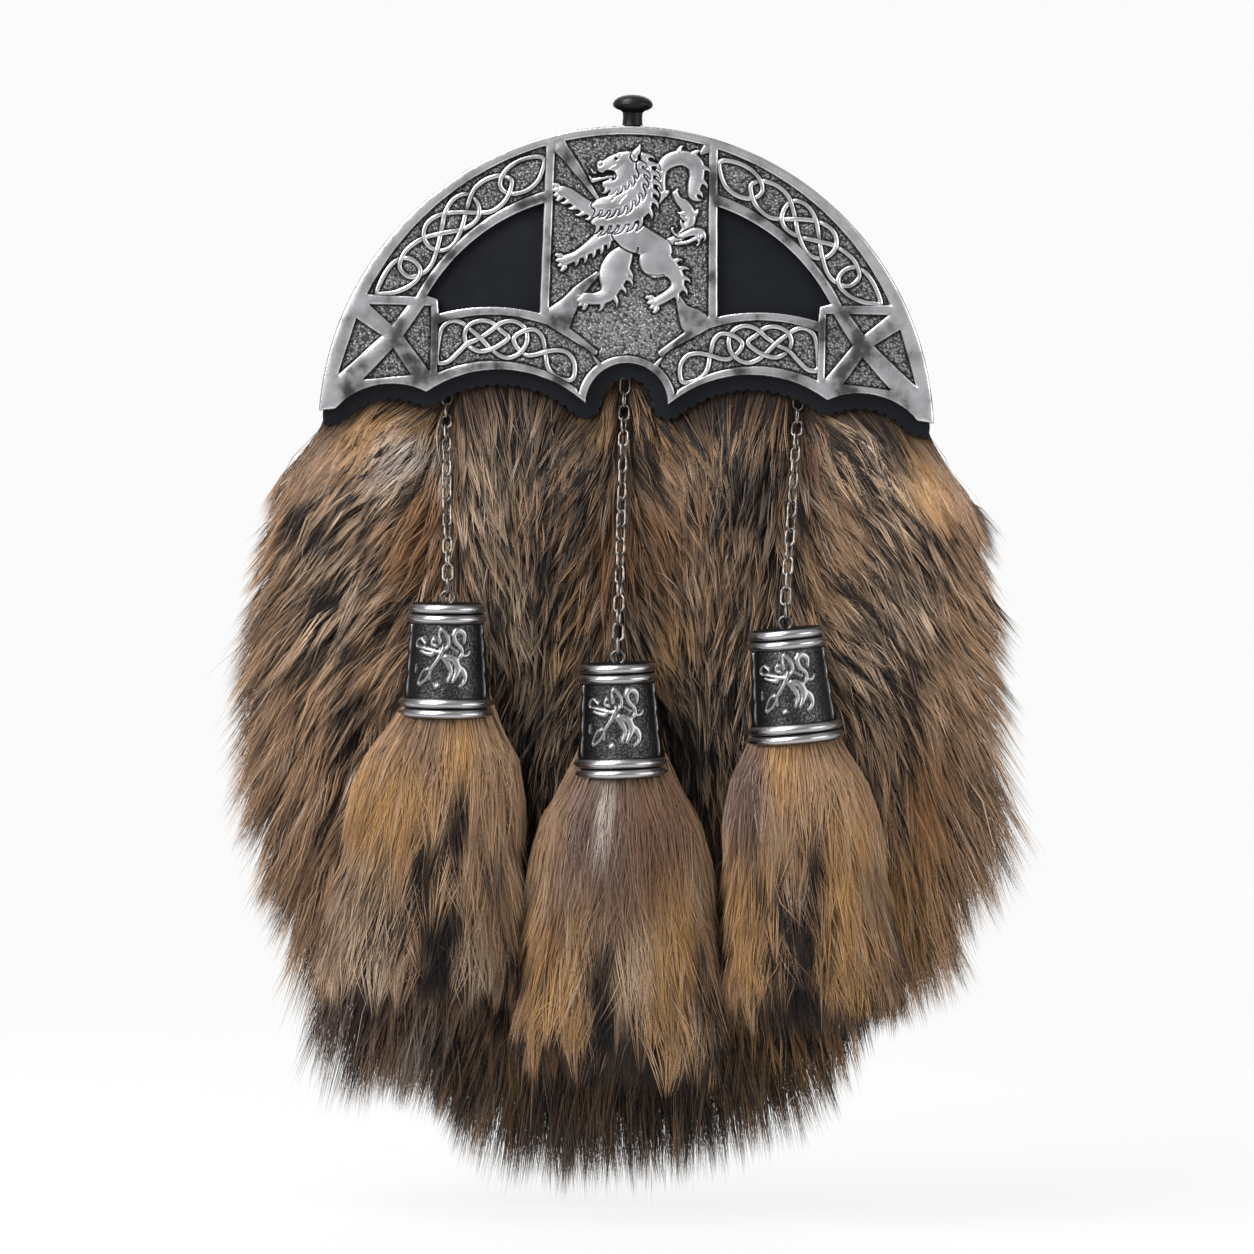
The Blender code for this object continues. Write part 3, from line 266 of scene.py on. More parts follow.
def grid_faces(rows, columns, closed=False, looped=False):
    """Quads between the points of a grid stored row by row.

    Its rows may be closed, and its last row may meet the first (looped).
    """
    index = np.arange(rows * columns).reshape(rows, columns)
    if looped:
        index = np.r_[index, index[:1]]
    if closed:
        index = np.c_[index, index[:, :1]]
    return np.stack([index[:-1, :-1], index[:-1, 1:], index[1:, 1:], index[1:, :-1]], -1).reshape(-1, 4)


def join_parts(parts):
    """One set of points and face groups from several (points, groups)."""
    points, groups, base = [], [], 0
    for found, faces in parts:
        points.append(np.asarray(found, float))
        groups += [np.atleast_2d(np.asarray(group)) + base for group in faces if len(group)]
        base += len(found)
    widths = sorted({group.shape[1] for group in groups})
    return np.concatenate(points), [np.concatenate([g for g in groups if g.shape[1] == width])
                                    for width in widths]


def tube(rings):
    """Closed mesh through rings of equal counts, with a cap at each end."""
    rings = np.asarray(rings, float)
    count, sides = rings.shape[:2]
    caps = [np.arange(sides)[::-1], np.arange(sides) + (count - 1) * sides]
    return rings.reshape(-1, 3), [grid_faces(count, sides, True), *[cap[None] for cap in caps]]


def loop_tube(rings):
    """Closed mesh through rings that meet again."""
    rings = np.asarray(rings, float)
    return rings.reshape(-1, 3), [grid_faces(*rings.shape[:2], True, True)]


def triangles_between(points, kind, edges=None):
    """Points and triangles that keep these edges, over the whole hull (kind 0) or inside a loop (kind 1)."""
    if edges is None:
        edges = [(k, (k + 1) % len(points)) for k in range(len(points))]
    found, _, faces, *_ = delaunay_2d_cdt([Vector(point) for point in points], edges, [], kind, 1e-6)
    return np.array(found), np.array(faces)


def slab(loop, back, thick, round_edge=0.4):
    """Closed plate with rounded edges, from its back depth towards the front."""
    loop = np.asarray(loop, float)
    side = np.roll(loop, -1, 0) - np.roll(loop, 1, 0)
    inward = np.c_[-side[:, 1], side[:, 0]]
    area = (loop[:, 0] * np.roll(loop[:, 1], -1) - loop[:, 1] * np.roll(loop[:, 0], -1)).sum()
    inward *= np.sign(area) / np.maximum(np.linalg.norm(inward, axis=1), 1e-9)[:, None]
    rings = []
    for inset, depth in ((1.0, 0.0), (0.3, 0.3), (0.0, 1.0), (0.0, -1.0), (0.3, -0.3), (1.0, 0.0)):
        at = loop + inward * inset * round_edge
        level = depth * round_edge if len(rings) < 3 else thick + depth * round_edge
        rings.append(np.c_[at[:, 0], np.full(len(at), back - level), at[:, 1]])
    if area < 0:
        rings = [ring[::-1] for ring in rings]
    points, (sides, *_) = tube(rings)
    last = len(points) - len(loop)
    _, back_cap = triangles_between(rings[0][:, ::2], 1)
    _, front_cap = triangles_between(rings[-1][:, ::2], 1)
    return points, [sides, np.r_[back_cap[:, ::-1], front_cap + last]]


# ---------------------------------------------------------------- curves

def arc_through(start, middle, end, steps):
    """Points of the circular arc from start to end by way of middle."""
    (ax, az), (bx, bz), (cx, cz) = start, middle, end
    twice = 2 * (ax * (bz - cz) + bx * (cz - az) + cx * (az - bz))
    a, b, c = ax * ax + az * az, bx * bx + bz * bz, cx * cx + cz * cz
    ox = (a * (bz - cz) + b * (cz - az) + c * (az - bz)) / twice
    oz = (a * (cx - bx) + b * (ax - cx) + c * (bx - ax)) / twice
    radius = math.hypot(ax - ox, az - oz)
    first, mid, last = (math.atan2(z - oz, x - ox) for x, z in (start, middle, end))
    turn = (last - first) % math.tau
    if (mid - first) % math.tau > turn:
        turn -= math.tau
    return [(ox + radius * math.cos(first + turn * i / steps),
             oz + radius * math.sin(first + turn * i / steps)) for i in range(steps + 1)]


def smooth_curve(points, steps, closed=False):
    """Catmull-Rom curve through points of any number of coordinates."""
    points = np.asarray(points, float)
    count = len(points)
    spans = np.arange(count if closed else count - 1)
    around = [(spans + k) % count if closed else np.clip(spans + k, 0, count - 1) for k in (-1, 0, 1, 2)]
    a, b, c, d = (points[i][:, None] for i in around)
    t = (np.arange(steps) / steps)[None, :, None]
    found = 0.5 * (2 * b + (c - a) * t + (2 * a - 5 * b + 4 * c - d) * t ** 2
                   + (3 * b - a - 3 * c + d) * t ** 3)
    found = found.reshape(-1, points.shape[1])
    return found if closed else np.r_[found, points[-1:]]


def evenly(path, pitch, closed=False):
    """The path again, with points at nearly equal distances."""
    path = np.asarray(path, float)
    if closed:
        path = np.r_[path, path[:1]]
    walked = np.r_[0, np.cumsum(np.linalg.norm(np.diff(path, axis=0), axis=1))]
    count = max(int(round(walked[-1] / pitch)), 2)
    at = np.linspace(0, walked[-1], count + 1)
    found = np.stack([np.interp(at, walked, column) for column in path.T], 1)
    return found[:-1] if closed else found


def mirrored(points):
    return [(-x, z) for x, z in reversed(list(points))]


def both_sides(loops):
    return loops + [mirrored(loop) for loop in loops]


def disc_arc(radius, centre, start_x, end_x, steps):
    """Top arc of a circle centred at height centre, from start_x to end_x."""
    angles = np.linspace(math.acos(start_x / radius), math.acos(end_x / radius), steps + 1)
    return [(radius * math.cos(a), centre + radius * math.sin(a)) for a in angles]


def scalloped_edge(drop, spread, steps):
    """Right half of the lower edge, from the corner to the middle, moved down by drop."""
    corner = (CANTLE_RADIUS - 4.6 + spread, CANTLE_END + 0.6 - drop)
    tip = (TIP_X, TIP_Z - drop)
    arch = ARCH_RADIUS - spread
    foot = (arch + 0.9, ARCH_CENTRE + 0.6 - drop)
    outer = arc_through(corner, (66.5, -24.3 - drop), tip, steps)
    middle = arc_through(tip, (34.0, -19.6 - drop), foot, steps + 2)
    inner = [(arch * math.cos(a), ARCH_CENTRE - drop + arch * math.sin(a))
             for a in np.linspace(0, math.pi / 2, steps + 1)]
    return outer + middle[1:] + inner


def cantle_outline():
    half = scalloped_edge(0.0, 0.0, 14)
    rise = CANTLE_END - CANTLE_CENTRE
    corner = math.sqrt(CANTLE_RADIUS ** 2 - rise ** 2)
    return disc_arc(CANTLE_RADIUS, CANTLE_CENTRE, -corner, corner, 90) + half + mirrored(half)[1:]


def upper_panel():
    """Recess over the right window, which holds the long knot."""
    rim = disc_arc(RIM_RADIUS, RIM_CENTRE, 23.2, 70.4, 24)
    return rim + arc_through((57.5, -0.3), (44.0, 17.0), (23.4, 28.8), 20)


def lower_panel():
    """Recess under the right window, which holds the short knot."""
    top = arc_through((51.1, -7.6), (37.5, -4.9), (22.0, -7.3), 12)
    ring = ARCH_RADIUS + 2.4
    bend = [(ring * math.cos(a), ARCH_CENTRE + ring * math.sin(a)) for a in np.linspace(0.9, 0.22, 8)]
    low = arc_through((13.6, -24.0), (34.0, -17.1), (51.1, -20.6), 16)
    return top + [(10.5, -13.9)] + bend + low


def shield():
    ring = ARCH_RADIUS + 2.2
    top = disc_arc(RIM_RADIUS, RIM_CENTRE, -20.6, 20.6, 24)
    bend = [(ring * math.cos(a), ARCH_CENTRE + ring * math.sin(a)) for a in np.linspace(1.0, 1.57, 8)]
    side = [(21.4, -4.2), (10.0, -14.2)] + bend
    return top + side + mirrored(side)[1:]


def window():
    """Right opening, through which the leather shows."""
    low = arc_through((51.0, -4.7), (37.5, -2.6), (24.0, -4.0), 12)
    roof = arc_through((23.4, 25.5), (41.7, 15.4), (54.3, 0.0), 20)
    return roof + [(51.4, -0.9)] + low


def saltire_triangles():
    return [
        [(69.8, -2.7), (59.6, -2.7), (63.6, -8.0)],
        [(73.2, -6.6), (66.4, -11.0), (77.8, -21.6)],
        [(55.0, -2.8), (53.3, -2.8), (53.3, -20.1), (60.4, -11.0)],
        [(63.2, -14.4), (58.4, -21.4), (70.9, -22.8)],
    ]


# Strands of the two knots in the right half, closed loops of x and z.
UPPER_STRANDS = [
    [(67.9, 0.5), (66.0, 5.4), (63.4, 8.8), (60.4, 10.0), (57.8, 9.1), (56.3, 6.9), (56.9, 4.5),
     (59.6, 2.2), (63.0, 0.7), (65.9, 0.3)],
    [(61.9, 8.3), (60.1, 12.2), (55.7, 15.4), (50.7, 16.8), (45.3, 18.0), (41.9, 20.0), (40.7, 22.7),
     (41.7, 25.9), (44.3, 27.6), (47.7, 26.1), (49.9, 22.5), (50.9, 17.4), (51.9, 12.4), (53.4, 8.2),
     (55.8, 5.8), (59.0, 4.9), (61.2, 6.3)],
    [(32.1, 31.0), (33.6, 32.4), (35.7, 32.7), (39.6, 31.3), (42.5, 28.4), (44.2, 23.3), (45.3, 18.5),
     (47.5, 13.9), (50.6, 12.2), (53.8, 13.1), (55.6, 16.1), (54.6, 19.6), (51.1, 21.9), (46.4, 22.6),
     (41.3, 22.6), (37.2, 23.1), (33.5, 26.4)],
    [(23.7, 37.5), (28.0, 37.6), (32.1, 35.7), (34.6, 33.0), (35.3, 30.1), (33.8, 28.3), (31.0, 27.9),
     (27.5, 29.2), (24.7, 32.3)],
]
LOWER_STRANDS = [
    [(51.3, -17.7), (51.2, -13.6), (50.3, -8.9), (48.0, -6.8), (45.3, -6.9), (42.4, -8.9), (39.7, -11.1),
     (37.0, -13.9), (34.3, -15.8), (32.0, -16.3), (29.4, -15.2), (27.4, -12.6), (27.3, -9.3), (28.9, -7.2),
     (31.6, -6.3), (34.5, -7.1), (37.1, -9.2), (40.3, -11.4), (43.2, -12.7), (45.8, -15.3), (48.6, -17.8)],
    [(43.5, -12.6), (44.0, -10.0), (42.7, -7.6), (39.8, -6.4), (36.9, -6.8), (34.5, -8.8), (32.2, -10.8),
     (34.4, -12.8), (37.0, -14.2), (39.9, -14.7), (42.3, -13.7)],
    [(27.2, -8.7), (24.8, -8.7), (23.0, -10.7), (22.2, -14.5), (21.4, -18.6), (19.0, -21.2), (14.9, -21.8),
     (14.2, -17.8), (15.9, -14.8), (18.8, -14.0), (22.2, -14.5), (25.3, -15.4), (27.6, -15.3), (30.0, -13.2),
     (30.8, -11.2), (29.5, -9.7)],
]
STRAND_HALF = 0.68
# Across a strand from its middle, in half-widths, height over its top and wear.
STRAND_PROFILE = [(-1.05, -1.15, 0.02), (-1.0, -0.28, 0.35), (-0.62, -0.03, 0.9), (0.0, 0.07, 1.0),
                  (0.62, -0.03, 0.9), (1.0, -0.28, 0.35), (1.05, -1.15, 0.02)]

# Arms of the large saltire behind the lion: x, z and half-width.
SALTIRE = [
    [(-21.4, 42.8, 2.5), (-17.8, 38.9, 1.75), (-13.4, 33.2, 1.2), (-9.0, 27.2, 0.5)],
    [(-19.6, -6.4, 4.2), (-16.4, -2.1, 2.6), (-13.3, 2.3, 1.7), (-8.7, 6.8, 0.8)],
    [(13.2, 1.1, 0.8), (14.9, -2.6, 1.8), (17.9, -5.9, 3.9)],
    [(20.6, 41.4, 1.6), (18.7, 39.9, 0.6)],
]
STRUT = [(21.9, -4.6, 0.95), (15.5, -9.2, 0.95), (8.9, -14.2, 0.9)]

# Lion rampant. Its parts lie over each other in this order, each at a level over the ground. A limb has
# rows of x, z and half-width, and tufts along its sides: side (1 is left of its path), first and last
# share of the path, count and length.
LION = [
    dict(level=1.15, limbs=[
        dict(rows=[(-1.6, 12.2, 2.6), (-3.2, 9.8, 3.7), (-4.3, 6.8, 4.0), (-4.8, 3.8, 2.9), (-6.0, 1.2, 2.2),
                   (-9.0, 0.1, 1.75), (-11.6, 0.2, 1.7), (-12.6, -0.3, 1.4)],
             tufts=[(1, 0.22, 0.74, 5, 2.5)], toes=4)]),
    dict(level=1.2, limbs=[
        dict(rows=[(-8.6, 23.0, 1.9), (-13.4, 25.7, 2.0), (-16.4, 27.9, 1.8), (-18.4, 28.9, 1.5),
                   (-19.4, 28.8, 1.1)],
             tufts=[(1, 0.12, 0.72, 4, 2.0)], toes=4)]),
    dict(level=1.25, limbs=[
        dict(rows=[(9.6, 15.4, 1.2), (13.4, 17.3, 1.2), (15.6, 20.3, 1.5), (16.1, 23.1, 1.6),
                   (14.7, 25.5, 1.6), (12.8, 27.2, 1.1), (11.8, 28.8, 0.9)],
             tufts=[(1, 0.42, 0.70, 3, 1.9), (-1, 0.62, 0.72, 1, 1.4)]),
        dict(rows=[(7.6, 26.0, 0.2), (8.6, 28.4, 0.9), (7.9, 31.9, 1.4), (8.2, 35.4, 1.7), (10.4, 37.7, 2.1),
                   (13.9, 38.4, 2.2), (17.0, 36.9, 2.4), (17.6, 33.9, 2.2), (17.0, 30.9, 1.9),
                   (16.6, 28.6, 1.3), (17.7, 27.4, 0.7), (19.0, 27.2, 0.2)],
             tufts=[(1, 0.50, 0.88, 5, 2.1), (-1, 0.10, 0.10, 1, 1.2)]),
        dict(rows=[(12.7, 27.3, 1.0), (12.1, 29.0, 0.7), (12.5, 30.0, 0.4)])]),
    dict(level=1.3, limbs=[
        dict(rows=[(12.4, 15.4, 0.6), (15.2, 15.8, 0.65), (17.4, 16.8, 0.7)]),
        dict(rows=[(13.9, 17.5, 0.8), (16.8, 18.7, 1.2), (19.2, 18.6, 1.0), (20.2, 17.2, 0.5),
                   (19.8, 16.1, 0.25)],
             tufts=[(-1, 0.55, 0.8, 2, 1.1)]),
        dict(rows=[(17.9, 17.1, 0.55), (18.6, 15.8, 0.45), (17.9, 14.8, 0.3)]),
        dict(rows=[(13.0, 17.4, 0.6), (11.7, 18.3, 0.45), (11.2, 19.3, 0.45), (11.7, 19.7, 0.3)])]),
    dict(level=1.4, limbs=[
        dict(rows=[(-4.4, 18.4, 2.3), (-8.1, 16.0, 2.1), (-11.5, 13.4, 1.7), (-14.7, 11.4, 1.4),
                   (-17.0, 10.4, 1.5), (-18.0, 10.0, 1.3)],
             tufts=[(1, 0.2, 0.80, 5, 1.7)], toes=4)]),
    dict(level=1.55, limbs=[
        dict(rows=[(-2.7, 17.7, 2.3), (0.6, 17.0, 4.0), (4.7, 15.2, 3.7), (7.7, 13.4, 3.7),
                   (9.4, 14.6, 1.4)]),
        dict(rows=[(7.2, 13.2, 3.8), (6.7, 10.9, 4.3), (7.3, 10.0, 4.0)]),
        dict(rows=[(7.8, 10.4, 3.8), (11.1, 8.5, 2.5), (12.9, 6.1, 2.1), (12.7, 3.4, 1.8), (10.5, 1.4, 1.5),
                   (8.2, 0.0, 1.4), (6.9, -0.7, 1.2)],
             tufts=[(1, 0.22, 0.66, 5, 2.2)], toes=4)]),
    dict(level=1.68, combed=0.02, limbs=[
        dict(rows=[(2.8, 39.2, 0.8), (3.8, 36.8, 1.3), (4.5, 33.3, 1.5), (4.4, 28.8, 1.7), (3.1, 24.8, 2.3),
                   (-0.5, 22.8, 2.4), (-4.5, 22.0, 2.2), (-7.9, 21.3, 1.8), (-10.0, 20.6, 0.8)],
             tufts=[(1, 0.04, 0.98, 13, 2.8)]),
        dict(rows=[(1.0, 30.0, 3.0), (-3.0, 26.0, 3.4), (-7.0, 24.0, 2.6)])]),
    dict(level=1.84, combed=0.025, limbs=[
        dict(rows=[(1.2, 37.3, 0.8), (1.9, 34.3, 1.4), (1.3, 30.8, 1.9), (-1.1, 28.0, 2.3), (-4.5, 26.2, 2.2),
                   (-7.8, 25.6, 1.8), (-10.0, 25.1, 0.7)],
             tufts=[(1, 0.06, 0.97, 10, 2.3)]),
        dict(rows=[(-1.2, 32.7, 2.5), (-3.1, 29.7, 2.2), (-5.1, 27.2, 1.5)])]),
    dict(level=1.95, limbs=[
        dict(rows=[(-5.0, 33.1, 0.5), (-7.2, 32.7, 0.55), (-9.0, 32.2, 0.65), (-10.3, 31.9, 0.8)]),
        dict(rows=[(-10.3, 31.8, 0.7), (-10.9, 32.5, 0.5), (-11.4, 33.2, 0.2)]),
        dict(rows=[(-9.3, 33.9, 0.4), (-10.2, 34.1, 0.55), (-10.8, 34.9, 0.3)])]),
    dict(level=2.0, limbs=[
        dict(rows=[(-1.3, 37.2, 2.4), (-1.7, 34.8, 2.8), (-3.2, 32.4, 2.1), (-5.2, 31.1, 1.5),
                   (-6.9, 30.9, 1.1)],
             tufts=[(1, 0.25, 1.0, 6, 1.7)]),
        dict(rows=[(-0.8, 37.8, 2.3), (-3.4, 37.2, 2.4), (-5.6, 36.3, 2.1), (-7.4, 35.5, 1.75),
                   (-7.7, 35.4, 1.7)]),
        dict(rows=[(-8.2, 36.6, 0.9), (-8.6, 36.3, 0.9)])]),
    dict(level=2.15, limbs=[
        dict(rows=[(0.5, 38.5, 1.0), (0.8, 38.1, 0.95)]),
        dict(rows=[(0.9, 39.3, 1.1), (1.7, 40.4, 0.8), (2.3, 42.0, 0.15)])]),
]
# Lines sunk into the lion: points of x and z, half-width and depth.
LION_LINES = [
    ([(2.2, 14.0), (1.5, 10.6), (1.8, 8.6), (3.9, 6.9), (6.9, 6.6), (9.3, 6.8)], 0.22, 0.5),
    ([(-2.6, 28.9), (-4.0, 28.0), (-5.3, 26.6)], 0.18, 0.35),
    ([(-1.4, 28.2), (-2.6, 26.9), (-3.2, 26.0)], 0.16, 0.3),
    ([(-5.8, 38.8), (-4.4, 39.3), (-3.0, 38.9)], 0.15, 0.25),
    ([(-9.2, 36.2), (-8.3, 35.9), (-8.0, 36.4)], 0.16, 0.4),
    ([(-8.9, 33.7), (-7.7, 33.4), (-6.6, 34.2), (-5.3, 34.1), (-4.5, 33.2), (-4.8, 32.5)], 0.34, 1.4),
    ([(-4.3, 36.4), (-5.6, 35.7), (-6.4, 34.9)], 0.15, 0.2),
    ([(0.6, 38.5), (0.9, 38.0)], 0.3, 0.4),
]
EYE_AT, EYE_SIZE = (-4.2, 37.9), 0.8
LION_EDGE = 0.7                  # radius of its rounded edges
LION_DOME = 0.60                 # how much its limbs swell towards their middles
FACE_MIDDLE = (-1.3, 36.0)       # where the strands of the mane run from


# ---------------------------------------------------------------- cantle

def band_inside(x, z, start, end):
    """Distance inside the band between two places of x, z and half-width."""
    (ax, az, ar), (bx, bz, br) = start, end
    dx, dz = bx - ax, bz - az
    along = np.clip(((x - ax) * dx + (z - az) * dz) / (dx * dx + dz * dz + 1e-12), 0, 1)
    return ar + (br - ar) * along - np.hypot(x - ax - along * dx, z - az - along * dz)


class Sheet:
    """Grid of points over a box of x and z, on which distances and heights are worked out."""

    def __init__(self, low_x, high_x, low_z, high_z, cell):
        self.low_x, self.low_z, self.cell = low_x, low_z, cell
        self.x, self.z = np.meshgrid(np.arange(low_x, high_x, cell), np.arange(low_z, high_z, cell))

    def part(self, low_x, high_x, low_z, high_z, margin):
        """Slices of the grid over a box with a margin."""
        cols = [int((x - self.low_x) / self.cell) for x in (low_x - margin, high_x + margin)]
        rows = [int((z - self.low_z) / self.cell) for z in (low_z - margin, high_z + margin)]
        return slice(max(rows[0], 0), max(rows[1] + 1, 0)), slice(max(cols[0], 0), max(cols[1] + 1, 0))

    def loop(self, loop, margin=2.0):
        """Distance inside a closed loop at each grid point, negative outside it."""
        loop = np.asarray(loop, float)
        found = np.full(self.x.shape, -margin)
        part = self.part(*np.c_[loop.min(0), loop.max(0)].ravel(), margin)
        x, z = self.x[part], self.z[part]
        best, inside = np.full(x.shape, 1e9), np.zeros(x.shape, bool)
        for (ax, az), (bx, bz) in zip(loop, np.roll(loop, -1, 0)):
            dx, dz = bx - ax, bz - az
            along = np.clip(((x - ax) * dx + (z - az) * dz) / (dx * dx + dz * dz + 1e-12), 0, 1)
            best = np.minimum(best, (x - ax - along * dx) ** 2 + (z - az - along * dz) ** 2)
            inside ^= ((az > z) != (bz > z)) & (x < dx * (z - az) / (dz or 1e-9) + ax)
        found[part] = np.maximum(np.where(inside, 1, -1) * np.sqrt(best), -margin)
        return found

    def limb(self, path, found=None, margin=1.5):
        """Distance inside a band along a path of x, z and half-width, joined to what was found before."""
        if found is None:
            found = np.full(self.x.shape, -margin)
        for a, b in zip(path[:-1], path[1:]):
            part = self.part(min(a[0], b[0]), max(a[0], b[0]), min(a[1], b[1]), max(a[1], b[1]),
                             max(a[2], b[2]) + margin)
            found[part] = np.maximum(found[part], band_inside(self.x[part], self.z[part], a, b))
        return found

    def sample(self, values, x, z):
        """Values at places between the grid's points."""
        rows, cols = values.shape
        u = np.clip((x - self.low_x) / self.cell, 0, cols - 1.001)
        v = np.clip((z - self.low_z) / self.cell, 0, rows - 1.001)
        j, i = u.astype(int), v.astype(int)
        u, v = u - j, v - i
        return ((values[i, j] * (1 - u) + values[i, j + 1] * u) * (1 - v)
                + (values[i + 1, j] * (1 - u) + values[i + 1, j + 1] * u) * v)

    def contour(self, field, level, skip):
        """Closed lines along which a field crosses a level, through every skip-th of its crossings."""
        height = np.where(field == level, 1e-9, field - level)
        flat = (height[:, :-1] > 0) != (height[:, 1:] > 0)
        tall = (height[:-1] > 0) != (height[1:] > 0)
        across, upward = np.full(flat.shape, -1), np.full(tall.shape, -1)
        across[flat] = np.arange(flat.sum())
        upward[tall] = np.arange(tall.sum()) + flat.sum()
        i, j = np.nonzero(flat)
        share = height[i, j] / (height[i, j] - height[i, j + 1])
        points = [np.c_[self.x[i, j] + share * self.cell, self.z[i, j]]]
        i, j = np.nonzero(tall)
        share = height[i, j] / (height[i, j] - height[i + 1, j])
        points = np.concatenate(points + [np.c_[self.x[i, j], self.z[i, j] + share * self.cell]])
        sides = np.stack([across[:-1], upward[:, :-1], across[1:], upward[:, 1:]], -1).reshape(-1, 4)
        met = (sides >= 0).sum(1)
        pairs = np.concatenate([np.sort(sides[met == 2], 1)[:, 2:], sides[met == 4][:, :2],
                                sides[met == 4][:, 2:]])
        mates = [[] for _ in points]
        for a, b in pairs:
            mates[a].append(b)
            mates[b].append(a)
        seen, loops = np.zeros(len(points), bool), []
        for start in range(len(points)):
            line, here = [], None if seen[start] else start
            while here is not None:
                seen[here] = True
                line.append(here)
                here = next((k for k in mates[here] if not seen[k]), None)
            if len(line) > 8:
                path = points[line]
                loops.append(((np.roll(path, 1, 0) + 2 * path + np.roll(path, -1, 0)) / 4)[::skip])
        return loops


def rounded(inside, radius):
    """Fall of a rounded edge under its flat top."""
    left = np.clip(1 - np.maximum(inside, 0) / radius, 0, 1)
    return radius * (1 - np.sqrt(1 - left ** 2))


def blurred(values, times):
    for _ in range(times):
        wide = np.pad(values, 1, mode="edge")
        values = (wide[:-2, 1:-1] + wide[2:, 1:-1] + wide[1:-1, :-2] + wide[1:-1, 2:] + wide[1:-1, 1:-1]) / 5
    return values


def value_noise(x, z, size, seed):
    """Smooth random values from -1 to 1 that change over about this size."""
    table = np.random.default_rng(seed).uniform(-1, 1, (64, 64))
    u, v = np.asarray(x) / size + 640, np.asarray(z) / size + 640
    i, j = np.floor(u).astype(int), np.floor(v).astype(int)
    fu, fv = u - i, v - j
    fu, fv = fu * fu * (3 - 2 * fu), fv * fv * (3 - 2 * fv)
    at = [table[(i + a) % 64, (j + b) % 64] for a in (0, 1) for b in (0, 1)]
    return (at[0] * (1 - fv) + at[1] * fv) * (1 - fu) + (at[2] * (1 - fv) + at[3] * fv) * fu


def edge_keys(faces, count):
    """One number for each directed edge of triangles."""
    return faces * count + np.roll(faces, -1, 1)


def casting(sheet, inside, height, floor, wear, levels, gap, skip, more=None):
    """Closed mesh where inside is positive: points in lines along its edge and scattered over its middle."""
    rim = sheet.contour(inside, 0.0, skip)
    lines = [line for level in levels for line in sheet.contour(inside, level, skip)]
    low = np.array([sheet.x.min(), sheet.z.min()])
    high = np.array([sheet.x.max(), sheet.z.max()])
    spots = np.stack(np.meshgrid(np.arange(low[0], high[0], gap), np.arange(low[1], high[1], gap)), -1)
    spots = spots.reshape(-1, 2) + chance.uniform(-0.28, 0.28, (spots.size // 2, 2)) * gap
    spots = spots[sheet.sample(inside, *spots.T) > levels[-1] + 0.4 * gap]
    if more is not None:
        spots = np.r_[spots, more[sheet.sample(inside, *more.T) > levels[0] + 0.05]]
    edges, base = [], 0
    for loop in rim:
        edges += [(base + k, base + (k + 1) % len(loop)) for k in range(len(loop))]
        base += len(loop)
    points, faces = triangles_between(np.concatenate([*rim, *lines, spots]), 0, edges)
    faces = faces[sheet.sample(inside, *points[faces].mean(1).T) > 0]
    count = len(points)
    ends = np.stack([faces, np.roll(faces, -1, 1)], -1).reshape(-1, 2)
    edge = ends[~np.isin(ends[:, 0] * count + ends[:, 1], ends[:, 1] * count + ends[:, 0])]
    rear, place = np.unique(edge, return_inverse=True)
    place = place.reshape(edge.shape)
    walls = np.stack([edge[:, 1], edge[:, 0], place[:, 0] + count, place[:, 1] + count], 1)
    _, back = triangles_between(points[rear], 0, place.tolist())
    keys = edge_keys(back, count)
    along = np.isin(keys, place[:, 0] * count + place[:, 1]).any(1)
    against = np.isin(keys, place[:, 1] * count + place[:, 0]).any(1)
    kept = along | (~against & (sheet.sample(inside, *points[rear][back].mean(1).T) > 0))
    back = back[kept][:, ::-1] + count
    x, z = points.T
    front = np.c_[x, CANTLE_BACK - sheet.sample(height, x, z), z]
    behind = np.c_[x[rear], np.full(len(rear), CANTLE_BACK - floor), z[rear]]
    shade = np.r_[sheet.sample(wear, x, z), np.full(len(rear), 0.1)]
    return np.r_[front, behind], [faces, walls, back], shade


def limb_path(rows, tufts, toes):
    """Smooth path of a limb, with the short paths of its tufts and toes."""
    path = smooth_curve(rows, 6)
    found = [path]
    lengths = np.r_[0, np.cumsum(np.linalg.norm(np.diff(path[:, :2], axis=0), axis=1))]
    for side, first, last, count, length in tufts:
        for k, share in enumerate(np.linspace(first, last, count)):
            at, ahead = (np.array([np.interp(share * lengths[-1] + step, lengths, column)
                                   for column in path.T]) for step in (-0.3, 0.3))
            along = (ahead - at)[:2] / np.linalg.norm((ahead - at)[:2])
            out = np.array([-along[1], along[0]]) * side
            edge = (at[:2] + ahead[:2]) / 2 + out * at[2]
            long = length * (1.0 + 0.25 * (k % 2))
            root, bend = edge - out * 0.55 - along * 0.5, edge + out * long * 0.36 + along * long * 0.1
            tip = edge + out * long * 0.62 + along * long * 0.62
            found.append(smooth_curve([(*root, 0.95), (*bend, 0.55), (*tip, 0.05)], 3))
    along = path[-1, :2] - path[-3, :2]
    along /= np.linalg.norm(along)
    out = np.array([-along[1], along[0]])
    for k in range(toes):
        spread = (k - (toes - 1) / 2) * 1.15
        root = path[-1, :2] + out * spread * 0.9
        tip = path[-1, :2] + out * spread * 1.25 + along * (1.35 - 0.25 * abs(spread))
        found.append(np.array([(*root, 0.9), (*tip, 0.65), (*(tip + along * 0.9 - out * 0.2), 0.08)]))
    return found


